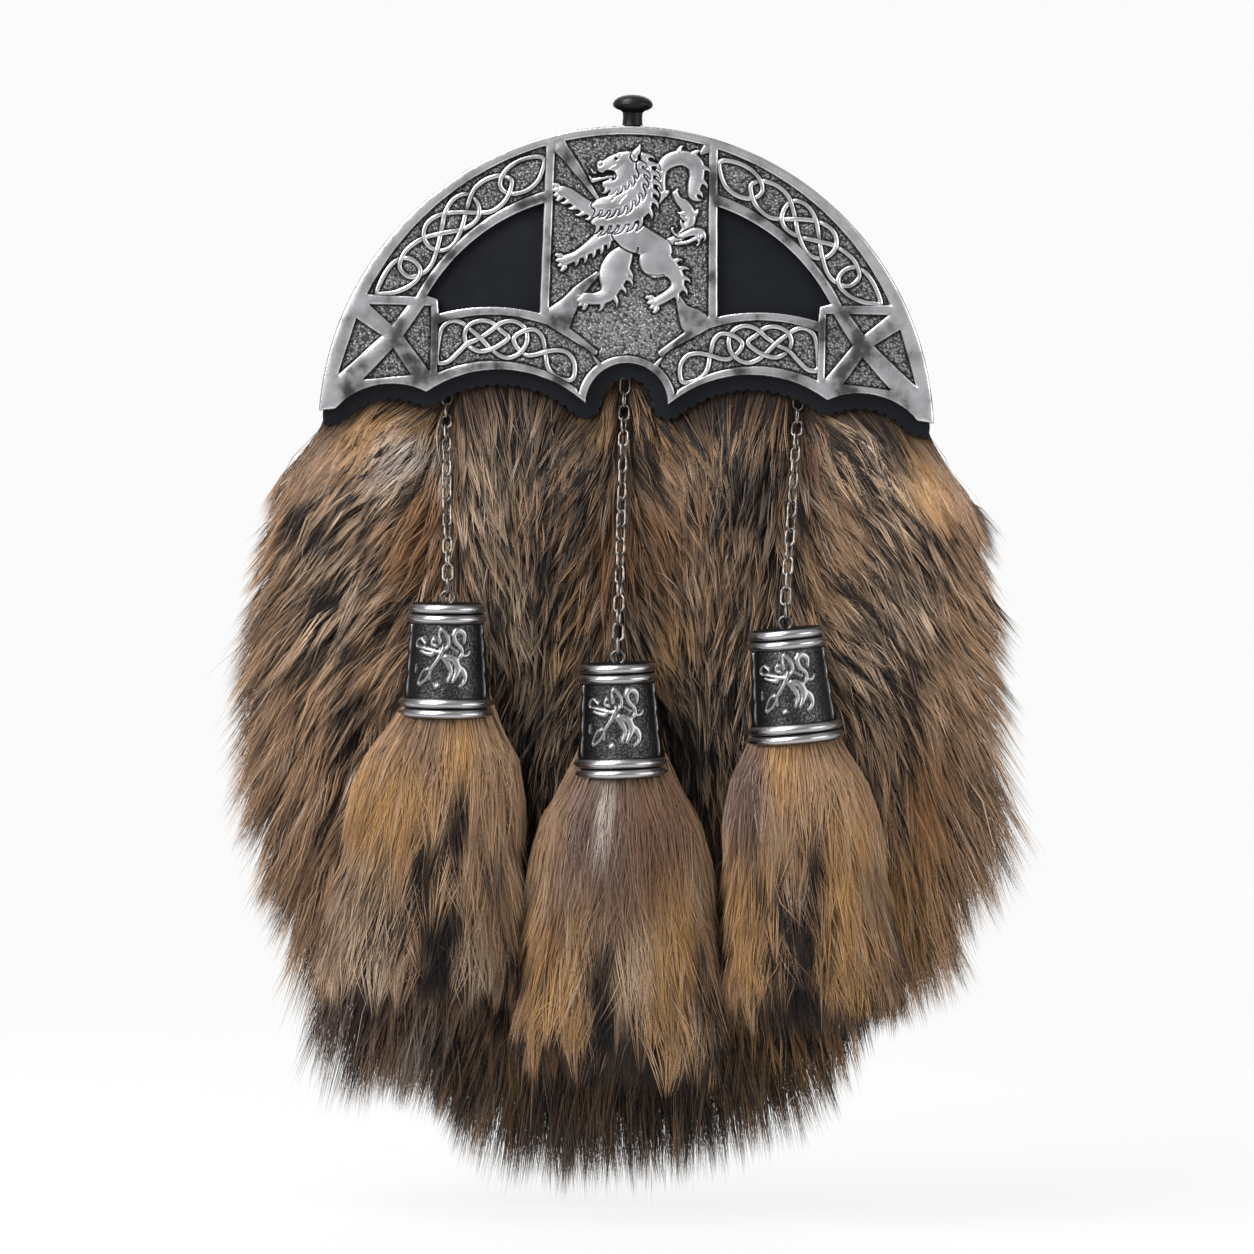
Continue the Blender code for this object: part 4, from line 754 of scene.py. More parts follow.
def lion_relief(sheet):
    """Distance inside the lion and its height, part over part."""
    whole, height = np.full(sheet.x.shape, -1.5), np.full(sheet.x.shape, GROUND + 0.6)
    angle = np.arctan2(sheet.z - FACE_MIDDLE[1], sheet.x - FACE_MIDDLE[0])
    far = np.hypot(sheet.x - FACE_MIDDLE[0], sheet.z - FACE_MIDDLE[1])
    strands = np.sin(angle * 21 + 1.3 * np.sin(far * 0.7) + far * 0.5) * np.clip((far - 3) / 4, 0, 1)
    dents = value_noise(sheet.x, sheet.z, 4.5, 5) * 0.09
    for part in LION:
        inside = np.full(sheet.x.shape, -1.5)
        for limb in part["limbs"]:
            for path in limb_path(limb["rows"], limb.get("tufts", ()), limb.get("toes", 0)):
                inside = sheet.limb(path, inside)
        top = GROUND + part["level"] - rounded(inside, LION_EDGE) + LION_DOME * (1 - np.exp(-inside / 1.6))
        top += (dents + part.get("combed", 0.0) * strands) * np.clip(inside / 0.8, 0, 1)
        groove = 0.55 * np.exp(-(np.minimum(inside, 0) / 0.2) ** 2) * (whole > 0.2)
        height = np.where(inside > 0, np.maximum(top, height * 0 + GROUND + 0.3), height - groove)
        whole = np.maximum(whole, inside)
    for points, half, depth in LION_LINES:
        line = sheet.limb([(x, z, half) for x, z in smooth_curve(points, 6)])
        height -= depth * np.clip(line / half + 1, 0, 1) ** 2
    eye = np.hypot(sheet.x - EYE_AT[0], (sheet.z - EYE_AT[1]) * 1.4)
    height += 0.25 * np.exp(-((eye - EYE_SIZE) / 0.25) ** 2) - 0.75 * np.exp(-(eye / 0.45) ** 2)
    return whole, height


def crossings(loops):
    """Where strands cross: pairs of loop and step."""
    start = np.concatenate(loops)
    along = np.concatenate([np.roll(loop, -1, 0) - loop for loop in loops])
    owner = np.concatenate([np.full(len(loop), k) for k, loop in enumerate(loops)])
    step = np.concatenate([np.arange(len(loop)) for loop in loops])

    def cross(p, q):
        return p[..., 0] * q[..., 1] - p[..., 1] * q[..., 0]

    gap = start[None] - start[:, None]
    base = cross(along[:, None], along[None])
    base[np.abs(base) < 1e-9] = 1e-9
    s, t = cross(gap, along[None]) / base, cross(gap, along[:, None]) / base
    hit = (s >= 0) & (s < 1) & (t >= 0) & (t < 1)
    return [((owner[i], step[i]), (owner[j], step[j])) for i, j in np.argwhere(np.triu(hit, 2))]


def weave(loops):
    """Rise of each loop's points, so that the strands pass over and under each other in turn."""
    met = crossings(loops)
    visits = [sorted(place for pair in met for place in pair if place[0] == k) for k in range(len(loops))]
    turn = {place: n % 2 for row in visits for n, place in enumerate(row)}
    flip, waiting = {0: 0}, [0]
    while waiting:
        here = waiting.pop()
        for first, second in met:
            for a, b in ((first, second), (second, first)):
                if a[0] == here and b[0] not in flip:
                    flip[b[0]] = (turn[a] + flip[here] + turn[b] + 1) % 2
                    waiting.append(b[0])
    rises = []
    for k, loop in enumerate(loops):
        rise = np.zeros(len(loop))
        for place in visits[k]:
            away = np.abs(np.arange(len(loop)) - place[1])
            away = np.minimum(away, len(loop) - away)
            sign = 1 if (turn[place] + flip.get(k, 0)) % 2 else -1
            rise += sign * np.exp(-(away / 1.9) ** 2)
        rises.append(rise)
    return rises


def strand_mesh(loop, rise):
    """Flat-topped strand round a closed loop, its points' wear with it."""
    side = np.roll(loop, -1, 0) - np.roll(loop, 1, 0)
    side = np.c_[-side[:, 1], side[:, 0]] / np.linalg.norm(side, axis=1)[:, None]
    top = STRAND + np.where(rise > 0, 0.16, 0.42) * rise
    rings = [np.c_[loop[:, 0] + side[:, 0] * u * STRAND_HALF, CANTLE_BACK - (top + v),
                   loop[:, 1] + side[:, 1] * u * STRAND_HALF] for u, v, _ in STRAND_PROFILE]
    wear = np.stack([np.full(len(loop), w) - 0.3 * np.clip(-rise, 0, 1) for *_, w in STRAND_PROFILE], 1)
    return (*loop_tube(np.stack(rings, 1)[::-1]), wear[::-1].ravel())


# Low and high x, low and high z and the cell of the grids for the plate, its lion and the backing.
PLATE_GRID = (-84.6, 84.7, -33.6, 48.4, 0.19)
LION_GRID = (-23.4, 23.4, -4.0, 44.6, 0.1)
BACKING_GRID = (-90.0, 90.0, -44.0, 50.0, 0.4)


def build_cantle():
    sheet = Sheet(*PLATE_GRID)
    outline = sheet.loop(cantle_outline(), 3.0)
    recesses = [sheet.loop(loop) for loop in
                both_sides([upper_panel(), lower_panel(), *saltire_triangles()]) + [shield()]]
    windows = [sheet.loop(loop) for loop in both_sides([window()])]
    hollow = np.maximum.reduce(recesses)
    plain = np.minimum(outline, -np.maximum.reduce([hollow, *windows]))
    for rows in SALTIRE:
        plain = np.maximum(plain, np.minimum(sheet.limb(smooth_curve(rows, 5)), recesses[-1] + 0.4))
    for rows in (STRUT, [(-x, z, half) for x, z, half in STRUT]):
        plain = np.minimum(sheet.limb(smooth_curve(rows, 5), plain), outline)
    sway = value_noise(sheet.x, sheet.z, 9.0, 3) * 0.05
    bars = BAR - 0.15 - rounded(plain, 0.34) + 0.42 * np.sin(np.clip(plain / 2.4, 0, 1) * math.pi / 2) + sway

    fine = Sheet(*LION_GRID)
    lion, figure = lion_relief(fine)
    strands, knots = [], np.full(sheet.x.shape, -1.5)
    for group in (UPPER_STRANDS, LOWER_STRANDS):
        loops = [evenly(smooth_curve(points, 12, True), 0.6, True) for points in group]
        for loop, rise in zip(loops, weave(loops)):
            for flip in (1, -1):
                turned = loop * (flip, 1)
                strands.append(strand_mesh(turned[::flip], rise[::flip]))
                path = np.c_[np.r_[turned, turned[:1]], np.full(len(loop) + 1, STRAND_HALF)]
                knots = sheet.limb(path, knots)

    near = (np.abs(sheet.x) < 23.2) & (sheet.z > -3.8) & (sheet.z < 44.4)
    whole = np.where(near, fine.sample(lion, sheet.x, sheet.z), -1.5)
    raised = np.maximum.reduce([plain, knots, whole])
    pebbles = value_noise(sheet.x, sheet.z, 0.55, 11) * 0.11 + value_noise(sheet.x, sheet.z, 0.33, 12) * 0.06
    level = np.where(raised > 0, np.where(plain > 0, bars, STRAND), GROUND)
    level = np.where(np.maximum.reduce(windows) > 0, 0.0, level)
    hidden = level - blurred(level, 12)
    within = np.clip((RIM_RADIUS - np.hypot(sheet.x, sheet.z - RIM_CENTRE)) / 2, 0, 1)
    wear = 0.82 - 0.32 * within + hidden * 0.9 - 0.9 * np.exp(-np.maximum(plain, 0) / 0.14)
    wear = np.clip(wear, 0.02, 1.0)
    open_middle = np.exp(-((sheet.x / 15) ** 2 + ((sheet.z + 7) / 9) ** 2))
    low = 0.50 + pebbles * 0.7 + np.clip(hidden, -0.3, 0) * 0.35 + 0.12 * open_middle
    low *= 0.15 + 0.85 * np.clip((-raised - 0.18) / 0.35, 0, 1)

    finish = pewter_finish("antique_pewter", 0.74, 0.03, 0.26)
    worn = pewter_finish("worn_pewter", 0.66, 0.03, 0.36, tarnish=1.2)
    stippled = pewter_finish("stippled_pewter", 0.60, 0.03, 0.4, 0.62)
    points, faces, shade = casting(sheet, plain, bars, 0.0, wear, (0.14, 0.32, 0.6), 1.3, 2)
    add_piece("cantle_frame", points, faces, finish, "cantle_metal", ["cantle"], 60, Wear=shade)
    rings = np.concatenate(sheet.contour(raised, -0.06, 3) + sheet.contour(raised, -0.42, 3))
    points, faces, shade = casting(sheet, hollow + 0.4, GROUND + pebbles, 0.3, np.clip(low, 0.02, 0.8),
                                   (0.3,), 0.46, 3, rings)
    add_piece("cantle_ground", points, faces, stippled, "cantle_metal", smooth=180, Wear=shade)
    wear = np.clip(0.84 + (figure - blurred(figure, 20)) * 2.2, 0.02, 1.0)
    wear = np.minimum(wear, 0.10 + 3.2 * np.maximum(lion, 0))
    points, faces, shade = casting(fine, lion, figure, GROUND - 0.3, wear, (0.12, 0.3), 0.17, 2)
    add_piece("cantle_lion", points, faces, worn, "cantle_metal", smooth=70, Wear=shade)
    points, faces = join_parts([strand[:2] for strand in strands])
    add_piece("cantle_knots", points, faces, finish, "cantle_metal", smooth=50,
              Wear=np.concatenate([strand[2] for strand in strands]))


def backing_edge():
    """Lower edge of the backing, right to left, before it is pinked: the cantle's edge moved outwards."""
    sheet = Sheet(*BACKING_GRID)
    line = max(sheet.contour(sheet.loop(cantle_outline(), 6.0), -BACKING_DROP, 1), key=len)
    far = np.hypot(line[:, 0], line[:, 1] - CANTLE_CENTRE)
    low = line[(line[:, 1] < -18.0) & (far < CANTLE_RADIUS - 0.9)]
    start = np.argmax(np.linalg.norm(np.diff(low, axis=0, append=low[:1]), axis=1)) + 1
    low = np.roll(low, -start, 0)
    return low if low[0, 0] > low[-1, 0] else low[::-1]


BACKING_LINE = backing_edge()


def build_backing(finish):
    """Leather behind the cantle, its lower edge cut in small rounded teeth."""
    edge = evenly(BACKING_LINE, PINK / 8)
    side = np.gradient(edge, axis=0)
    out = np.c_[-side[:, 1], side[:, 0]] / np.linalg.norm(side, axis=1)[:, None]
    wave = np.abs(np.sin(np.arange(len(edge)) * math.pi / 8)) ** 0.7
    teeth = edge + out * ((wave - 0.5) * PINK_DEPTH)[:, None]
    ends = np.hypot(*(edge[[0, -1]] - (0, CANTLE_CENTRE)).T).min()
    start = math.atan2(edge[0, 1] - CANTLE_CENTRE, edge[0, 0])
    angles = np.linspace(math.pi - start, start, 100)[1:-1]
    top = np.c_[ends * np.cos(angles), CANTLE_CENTRE + ends * np.sin(angles)]
    loop = np.r_[top, teeth[1:-1]]
    add_piece("backing_leather", *slab(loop, BACKING_BACK, LEATHER, 0.3), finish, "leather", ["backing"])


def lathe(profile, sides):
    """Surface of revolution about Z from rows of radius and height, closed at the axis."""
    angles = np.linspace(0, math.tau, sides, endpoint=False)
    rings = [np.c_[r * np.cos(angles), r * np.sin(angles), np.full(sides, z)] for r, z in profile]
    return tube(rings)


def build_stud():
    """Mushroom stud, its tang running down behind the rim."""
    foot = CANTLE_CENTRE + CANTLE_RADIUS + 0.3
    head = [(0.05, STUD_TOP), (1.6, STUD_TOP - 0.08), (3.0, STUD_TOP - 0.4), (4.2, STUD_TOP - 0.95),
            (5.0, STUD_TOP - 1.7), (STUD_HEAD, STUD_TOP - 2.5), (STUD_HEAD, STUD_TOP - 2.9),
            (5.1, STUD_TOP - 3.5), (4.3, STUD_TOP - 4.0), (3.2, STUD_TOP - 4.4), (STUD_NECK, STUD_TOP - 4.9),
            (STUD_NECK - 0.1, STUD_TOP - 6.2), (STUD_NECK, foot + 0.5), (STUD_NECK + 0.1, foot), (0.05, foot)]
    points, faces = lathe(head[::-1], 40)
    points[:, 1] += BACKING_BACK + 1.0
    tang = [(-2.2, foot + 0.8), (-2.2, 35.0), (-1.4, 34.0), (1.4, 34.0), (2.2, 35.0), (2.2, foot + 0.8)]
    strap = slab(tang, BACKING_BACK + 1.7, 1.4, 0.25)
    black = clouded_finish("stud_black", 3.0, ((0.3, grey(0.005)), (0.7, grey(0.010))), (0.30, 0.42),
                           0.8, 0.03, 0.3, Specular_IOR_Level=0.2)
    add_piece("stud", *join_parts([(points, faces), strap]), black, "stud_finish", ["top_stud"], 35)


# ---------------------------------------------------------------- leather body

def body_half(z, reach=0.0):
    """Half-width of the leather body at heights z."""
    z = np.asarray(z, float)
    reach = reach * np.clip((CANTLE_END - 1 - z) / 12, 0, 1)
    radius = CANTLE_RADIUS - 1.5
    high = np.sqrt(np.clip(radius ** 2 - (z - CANTLE_CENTRE) ** 2, 0, None))
    flank = (BODY_HALF + reach) * np.sqrt(np.clip(1 - ((z - BODY_WIDEST) / BODY_UPPER) ** 2, 0, 1))
    drop = np.clip((BODY_WIDEST - z) / (BODY_WIDEST - BODY_BOTTOM + reach), 0, 1)
    low = (BODY_HALF + reach) * (1 - drop ** BODY_POWER) ** (1 / BODY_POWER)
    return np.where(z > CANTLE_END, high, np.where(z > BODY_WIDEST, flank, low))


def swell(z):
    part = np.clip((SWELL_TOP - np.asarray(z, float)) / (SWELL_TOP - BODY_BOTTOM), 0, 1)
    return np.sin(math.pi * part ** 0.85) * (1 - 0.3 * part) + 0.35 * part ** 2


def front_face(x, z):
    """Depth of the outer face of the front wall."""
    across = np.clip(np.abs(x) / np.maximum(body_half(z), 1.0), 0, 1)
    return PANEL_FACE - swell(z) * (BELLY + CROWN * (1 - across ** 2))


def curved_sheet(outer, inner, levels, columns, reach=0.0):
    """Closed sheet between two depths over the body's width at each level."""
    share = np.sin(np.linspace(-math.pi / 2, math.pi / 2, columns + 1))
    z = np.repeat(levels[:, None], columns + 1, 1)
    x = body_half(z, reach) * share
    front = np.stack([x, outer(x, z), z], -1)
    rear = np.stack([x, inner(x, z), z], -1)[:, ::-1]
    rings = np.concatenate([front, rear], 1)
    return tube(rings[::-1])


def body_rows(top, count):
    """Heights from top to the body's bottom, closer together at both ends."""
    low = BODY_BOTTOM + 0.4
    return top + (low - top) * (1 - np.cos(np.linspace(0, math.pi, count))) / 2


def body_route(count=70):
    """Edge of the leather body from the right corner under the cantle round to the left one."""
    z = body_rows(SWELL_TOP, count)
    side = np.c_[body_half(z), z]
    return np.r_[side, (side * (-1, 1))[::-1]]


def stitches(path, depth, face, pitch=3.4, length=2.3, wire=0.34):
    """Row of thread stitches lying along a path of x and z on a face at this depth."""
    found = []
    path = evenly(path, pitch)
    for a, b in zip(path[:-1], path[1:]):
        along = (b - a) / np.linalg.norm(b - a)
        middle = (a + b) / 2
        rings = []
        for place, size in ((-1.0, 0.35), (-0.75, 0.85), (0.0, 1.0), (0.75, 0.85), (1.0, 0.35)):
            centre = middle + along * place * length / 2
            ring = [(centre[0] - along[1] * math.cos(t) * wire * size,
                     depth + face * (math.sin(t) * wire * size + 0.12 * (1 - abs(place))),
                     centre[1] + along[0] * math.cos(t) * wire * size) for t in np.arange(6) * math.tau / 6]
            rings.append(ring[::-1] if face > 0 else ring)
        found.append(tube(rings))
    return found


def inset_route(route, inset):
    side = np.gradient(route, axis=0)
    inward = np.c_[side[:, 1], -side[:, 0]] / np.linalg.norm(side, axis=1)[:, None]
    centre = np.array([0.0, -90.0])
    inward *= np.sign(((centre - route) * inward).sum(1))[:, None]
    return route + inward * inset


def build_leather(finish, thread):
    levels = np.r_[np.linspace(CANTLE_CENTRE + CANTLE_RADIUS - 2.2, SWELL_TOP + 2, 16),
                   body_rows(SWELL_TOP, 40)]
    front = curved_sheet(front_face, lambda x, z: front_face(x, z) + LEATHER, levels, 28)
    add_piece("front_wall", *front, finish, "leather", ["front_panel"], 50)

    route = body_route()
    top = np.array(disc_arc(CANTLE_RADIUS - 1.5, CANTLE_CENTRE, -81.2, 81.2, 60))
    back = slab(np.r_[top, route], BACK_FACE, LEATHER, 0.5)
    add_piece("back_wall", *back, finish, "leather", ["back_panel"], 50)

    rings = []
    inward = inset_route(route, 1.0) - route
    for (x, z), (ix, iz) in zip(route, inward):
        near, far = front_face(x, z) + LEATHER + 0.3, BACK_FACE - LEATHER - 0.3
        outer = [(near, 0.4), (near * 0.75 + far * 0.25, 0.9), ((near + far) / 2, 2.2),
                 (near * 0.25 + far * 0.75, 0.9), (far, 0.4)]
        section = outer + [(y, inset + LEATHER) for y, inset in outer[::-1]]
        rings.append([(x + ix * inset, y, z + iz * inset) for y, inset in section])
    add_piece("side_gusset", *tube(rings[::-1]), finish, "leather", ["gusset"], 50)

    threads = stitches(inset_route(route, 3.2), BACK_FACE, 1)
    threads += stitches(inset_route(top, 3.2), BACK_FACE, 1)
    for name, middle in (("left", -LOOP_X), ("right", LOOP_X)):
        add_piece("belt_loop_" + name, *belt_loop(middle), finish, "leather", ["strap_loop_" + name], 50)
        for end in (-1, 1):
            for rise in (LOOP_RISE + 5.0, LOOP_RISE + LOOP_TAB - 1.6):
                ends = middle - LOOP_WIDTH / 2 + 1.6, middle + LOOP_WIDTH / 2 - 1.6
                threads += stitches([(x, end * rise) for x in ends], BACK_FACE + 0.3 + LEATHER, 1, 3.3)
    add_piece("stitching", *join_parts(threads), thread, "leather", smooth=60)


def belt_loop(middle):
    """Strap of leather arched off the back, with flat tabs above and below."""
    seat = BACK_FACE + 0.3
    crest = LOOP_SLOT / 2
    line = [(seat, LOOP_RISE + LOOP_TAB), (seat, LOOP_RISE + 3.6), (seat + 1.4, LOOP_RISE + 1.6),
            (crest - 0.5, LOOP_RISE - 0.4), (crest, LOOP_RISE - 2.6), (crest, 0.0)]
    half = smooth_curve(line, 5)
    line = np.r_[half, (half * (1, -1))[::-1][1:]]
    step = np.gradient(line, axis=0)
    out = np.c_[-step[:, 1], step[:, 0]] / np.linalg.norm(step, axis=1)[:, None]
    inner = [(-1, 0.25), (-0.97, 0.05), (-0.92, 0.0), (0.92, 0.0), (0.97, 0.05), (1, 0.25)]
    section = inner + [(across, 1 - through) for across, through in inner[::-1]]
    rings = [[(middle + across * LOOP_WIDTH / 2, y + oy * LEATHER * through, z + oz * LEATHER * through)
              for across, through in section] for (y, z), (oy, oz) in zip(line, out)]
    return tube(rings[::-1])


# ---------------------------------------------------------------- chains and cones

def cone_frame(row):
    return (Matrix.Translation((row["cone_x"], CONE_AXIS, row["cone_z"]))
            @ Matrix.Rotation(math.radians(-row["lean"]), 4, "Y"))


def chain_route(row):
    """Curve down from the pin, clear of the backing's edge, to the cone's eye."""
    pin = Vector((row["chain_x"], BACKING_BACK + 1.5, row["chain_z"]))
    eye = cone_frame(row) @ Vector((0, 0, EYE_RADIUS - 0.4))
    below, above = pin + Vector((0, -0.7, -6.0)), eye + Vector((0, 0.5, 6.0))
    spans = round((below - above).length / 6.0)
    middle = [below.lerp(above, k / spans) + Vector((0, -2.5, 0)) * math.sin(math.pi * k / spans)
              for k in range(spans + 1)]
    return smooth_curve([tuple(p) for p in (pin, *middle, eye)], 6)


def ring_mesh(centre, along, across, length, width, wire, sides=16, around=8):
    """Oval link of round wire."""
    normal = np.cross(along, across)
    straight, radius = (length - width) / 2, (width - wire) / 2
    rings = []
    for a in (np.arange(sides) + 0.5) * math.tau / sides:
        out = across * math.cos(a) + along * math.sin(a)
        middle = centre + out * radius + along * math.copysign(straight, math.sin(a))
        rings.append([middle + (out * math.cos(b) + normal * math.sin(b)) * wire / 2
                      for b in np.arange(around) * math.tau / around])
    return loop_tube(rings)


LINK_WIRE, LINK_WIDTH, LINK_PITCH = 0.78, 3.5, 4.05
LINK_SPARE = 1.5                 # how much longer a link is than its pitch
LINK_START = 0.9                 # way from the pin to where the links begin


def build_chain(side, row, finish):
    route = chain_route(row)
    walked = np.r_[0, np.cumsum(np.linalg.norm(np.diff(route, axis=0), axis=1))]
    reach = walked[-1] - LINK_START
    count = 2 * round(reach / LINK_PITCH / 2)
    pitch = reach / count
    links = []
    for i in range(count):
        at = LINK_START + pitch * (i + 0.3)
        centre = np.array([np.interp(at, walked, column) for column in route.T])
        ahead = np.array([np.interp(at + 0.5, walked, column) for column in route.T])
        along = ahead - centre
        if np.linalg.norm(along) < 1e-6:
            along = route[-1] - route[-2]
        along /= np.linalg.norm(along)
        flat = np.cross(along, (0, 1, 0))
        flat /= np.linalg.norm(flat)
        sway = 0.12 * math.sin(i * 2.4 + len(side))
        turn = math.radians(90 * (i % 2) + 45 * math.sin(math.pi * i / (count - 1))) + sway
        across = flat * math.cos(turn) + np.cross(along, flat) * math.sin(turn)
        links.append(ring_mesh(centre, along, across, pitch + LINK_SPARE, LINK_WIDTH, LINK_WIRE))
    add_piece("chain_links_" + side, *join_parts(links), finish, "chain_metal", ["chain_" + side], 60)


# Figure on each cone: strokes of across, up (from the cone's middle) and half-width.
CONE_FIGURE = [
    [(-0.6, 3.2, 0.35), (-1.6, 0.9, 0.5), (-3.4, -1.6, 0.45)],
    [(-3.4, -1.6, 0.4), (-5.2, -2.0, 0.3), (-6.6, -4.6, 0.3), (-6.2, -5.0, 0.35), (-4.6, -3.9, 0.35),
     (-3.6, -2.2, 0.3)],
    [(-3.5, -1.6, 0.35), (-3.6, -3.6, 0.45)],
    [(-0.9, 2.0, 0.4), (-3.2, 2.5, 0.4), (-5.4, 3.0, 0.3), (-7.2, 3.3, 0.3), (-7.0, 4.6, 0.3),
     (-6.0, 5.0, 0.3), (-4.8, 3.9, 0.3)],
    [(-2.6, 2.4, 0.4), (-3.4, 1.6, 0.5), (-6.2, 2.3, 0.3)],
    [(-2.0, 3.4, 0.35), (-3.2, 4.0, 0.45), (-2.8, 5.0, 0.3), (-2.2, 4.6, 0.2)],
    [(-1.4, 4.2, 0.4), (-1.6, 6.2, 0.35), (-0.9, 7.2, 0.4), (0.4, 5.4, 0.45), (0.5, 3.6, 0.4),
     (-0.4, 2.6, 0.3)],
    [(-0.9, 1.2, 0.4), (0.6, -0.6, 0.6), (1.2, -2.2, 0.5), (0.5, -4.2, 0.35)],
    [(0.0, 1.2, 0.5), (2.0, 0.4, 0.8), (2.7, -1.8, 0.8), (1.5, -4.4, 0.35)],
    [(2.6, -0.6, 0.4), (4.2, -2.2, 0.75), (4.4, -4.2, 0.5), (3.2, -5.4, 0.3)],
    [(2.2, 0.6, 0.35), (3.4, 1.2, 0.4), (3.6, 2.8, 0.5), (2.2, 4.4, 0.55), (1.8, 6.0, 0.6), (2.8, 7.0, 0.7),
     (4.2, 6.2, 0.6), (4.1, 4.2, 0.35)],
    [(3.5, 1.6, 0.35), (4.8, 1.4, 0.4), (5.6, 2.4, 0.3)],
    [(1.2, 3.2, 0.25), (2.6, 2.3, 0.3)],
    [(-1.6, -5.2, 0.4), (-2.3, -5.5, 0.4)],
    [(-7.4, -0.8, 0.25), (-7.4, -2.4, 0.25)],
]
FIGURE_SIZE = 1.2
PANEL_HALF, PANEL_UP = 11.6, 9.0      # half-width round the cone and half-height of the figure's panel
BEAD_HEIGHT, BEAD_BULGE = 2.5, 1.15   # of each bright ring
BAND = 5.4                            # height of the two rings at each end


def stroke_distance(u, v, strokes):
    """Distance inside the nearest stroke."""
    found = np.full(u.shape, -9.0)
    for rows in strokes:
        path = smooth_curve(rows, 5)
        for a, b in zip(path[:-1], path[1:]):
            found = np.maximum(found, band_inside(u, v, a, b))
    return found


def ring_bead(z, top):
    """Outward swell of a round ring that starts at height top."""
    part = np.clip((top - z) / BEAD_HEIGHT, 0, 1)
    return BEAD_BULGE * np.sin(math.pi * part) ** 0.7


def build_cone(side, row, finish):
    """Hollow cap: two bright rings at its top and foot, and a raised figure in a dark panel between them."""
    low = -CONE_HEIGHT
    heights = np.r_[np.linspace(0, -BAND, 17), np.linspace(-BAND - 0.3, low + BAND + 0.3, 62),
                    np.linspace(low + BAND, low, 17)]
    front = np.linspace(-1.2, 1.2, 96)
    angles = np.r_[front, np.linspace(1.2, math.tau - 1.2, 30)[1:-1]] - math.pi / 2
    z, a = np.meshgrid(heights, angles, indexing="ij")
    part = -z / CONE_HEIGHT
    plain = CONE_TOP - 0.9 + (CONE_FOOT - CONE_TOP + 0.1) * part
    rings = sum(ring_bead(z, top) for top in (-0.1, -2.75, low + 5.25, low + 2.6))
    u = (a + math.pi / 2) * plain
    v = z - low / 2
    figure = stroke_distance(u / FIGURE_SIZE, v / FIGURE_SIZE, CONE_FIGURE) * FIGURE_SIZE - 0.1
    posts = 0.30 - np.abs(np.abs(u) - PANEL_HALF * (0.96 + 0.14 * part))
    inside = (np.abs(v) < PANEL_UP + 0.6)
    raised = np.sqrt(np.clip(figure / 0.6 + 0.3, 0, 1)) * 0.6 + np.clip(posts / 0.3, 0, 1) * 0.6
    panel = np.clip((9.6 - np.abs(u)) / 0.6, 0, 1)
    speckle = chance.uniform(-1, 1, z.shape) * 0.09 * panel
    radius = plain + rings + (raised + speckle * (raised < 0.1)) * inside
    radius[0], radius[-1] = radius[1] - 0.5, radius[-2] - 0.5
    wear = np.where(rings > 0.2, 0.30 + 0.80 * rings / BEAD_BULGE, 0.05)
    # Painted light: the dark panel's wear is raised across its middle at the cone's front, so that the panel
    # is lighter there and darker round towards the cone's sides.
    field = 0.14 + 0.18 * panel * np.exp(-(u / 7.5) ** 4) + speckle * 2.4
    wear = np.where((rings <= 0.2) & inside, field + (0.84 - field) * np.clip(raised / 0.5, 0, 1) ** 2, wear)
    outer = np.stack([radius * np.cos(a), radius * np.sin(a), z], -1)
    bore = CONE_FOOT - 0.5 - 1.2
    bored = [np.stack([wide * np.cos(a[-1]), wide * np.sin(a[-1]), np.full(a.shape[1], at)], -1)
             for wide, at in ((bore - 0.02, low), (bore - 2.4, -2.2))]
    points, faces = tube(np.concatenate([outer, bored])[::-1])
    shade = np.concatenate([wear, np.full((2, a.shape[1]), 0.1)])[::-1].ravel()
    eye = ring_mesh(np.array([0, 0, EYE_RADIUS - 0.4]), np.array([0, 0, 1.0]), np.array([1.0, 0, 0]),
                    2 * EYE_RADIUS + EYE_WIRE, 2 * EYE_RADIUS + EYE_WIRE, EYE_WIRE, 20, 8)
    points, faces = join_parts([(points, faces), eye])
    shade = np.r_[shade, np.full(len(eye[0]), 0.5)]
    matrix = np.array(cone_frame(row))
    points = points @ matrix[:3, :3].T + matrix[:3, 3]
    add_piece("cone_cap_" + side, points, faces, finish, "cone_metal", ["cone_" + side], 55, Wear=shade)


# ---------------------------------------------------------------- fur

PELT_HAIRS, PELT_LOCKS = 127000, 15000
PELT_SHARES = np.array([0.0, 0.56, 1.0])    # stations of one of its hairs, as shares of its length
PELT_REACH = 3.0                 # how far the pelt wraps past the leather's edge
PELT_LOWEST = -245.0
PELT_LIGHT, TASSEL_LIGHT = 0.86, 0.74    # shares that they keep of their tones' brightness
TASSEL_HAIRS, TASSEL_LOCKS = 15500, 950
TASSEL_SHARES = np.array([0.0, 0.33, 0.68, 1.0])
# Heights below the origin, and the lean in degrees of the pile's roots at the pelt's edge.
EDGE_LEAN = [35, 50, 70, 90, 120, 150, 180, 205], [34, 48, 54, 52, 44, 33, 24, 14]
# Heights below the origin, and how much longer the hairs are that end there, at the left and the right edge.
PILE_TRIM = ([38, 60, 70, 80, 92, 113, 124, 135, 157, 168, 178, 189, 200, 211],
             [0, -7, -7, -5, 1, 1, 2, 0, -5, -5, 4, 10, -9, -22],
             [12, -4, -3, 0, -5, 2, 14, 10, 1, 1, -6, -14, 4, 6])
PILE_BEND = 0.62                 # share of their lean that the hairs lose on their way to the tip
PILE_FALL = 10.0                 # about how far below its root a hair of the edge ends
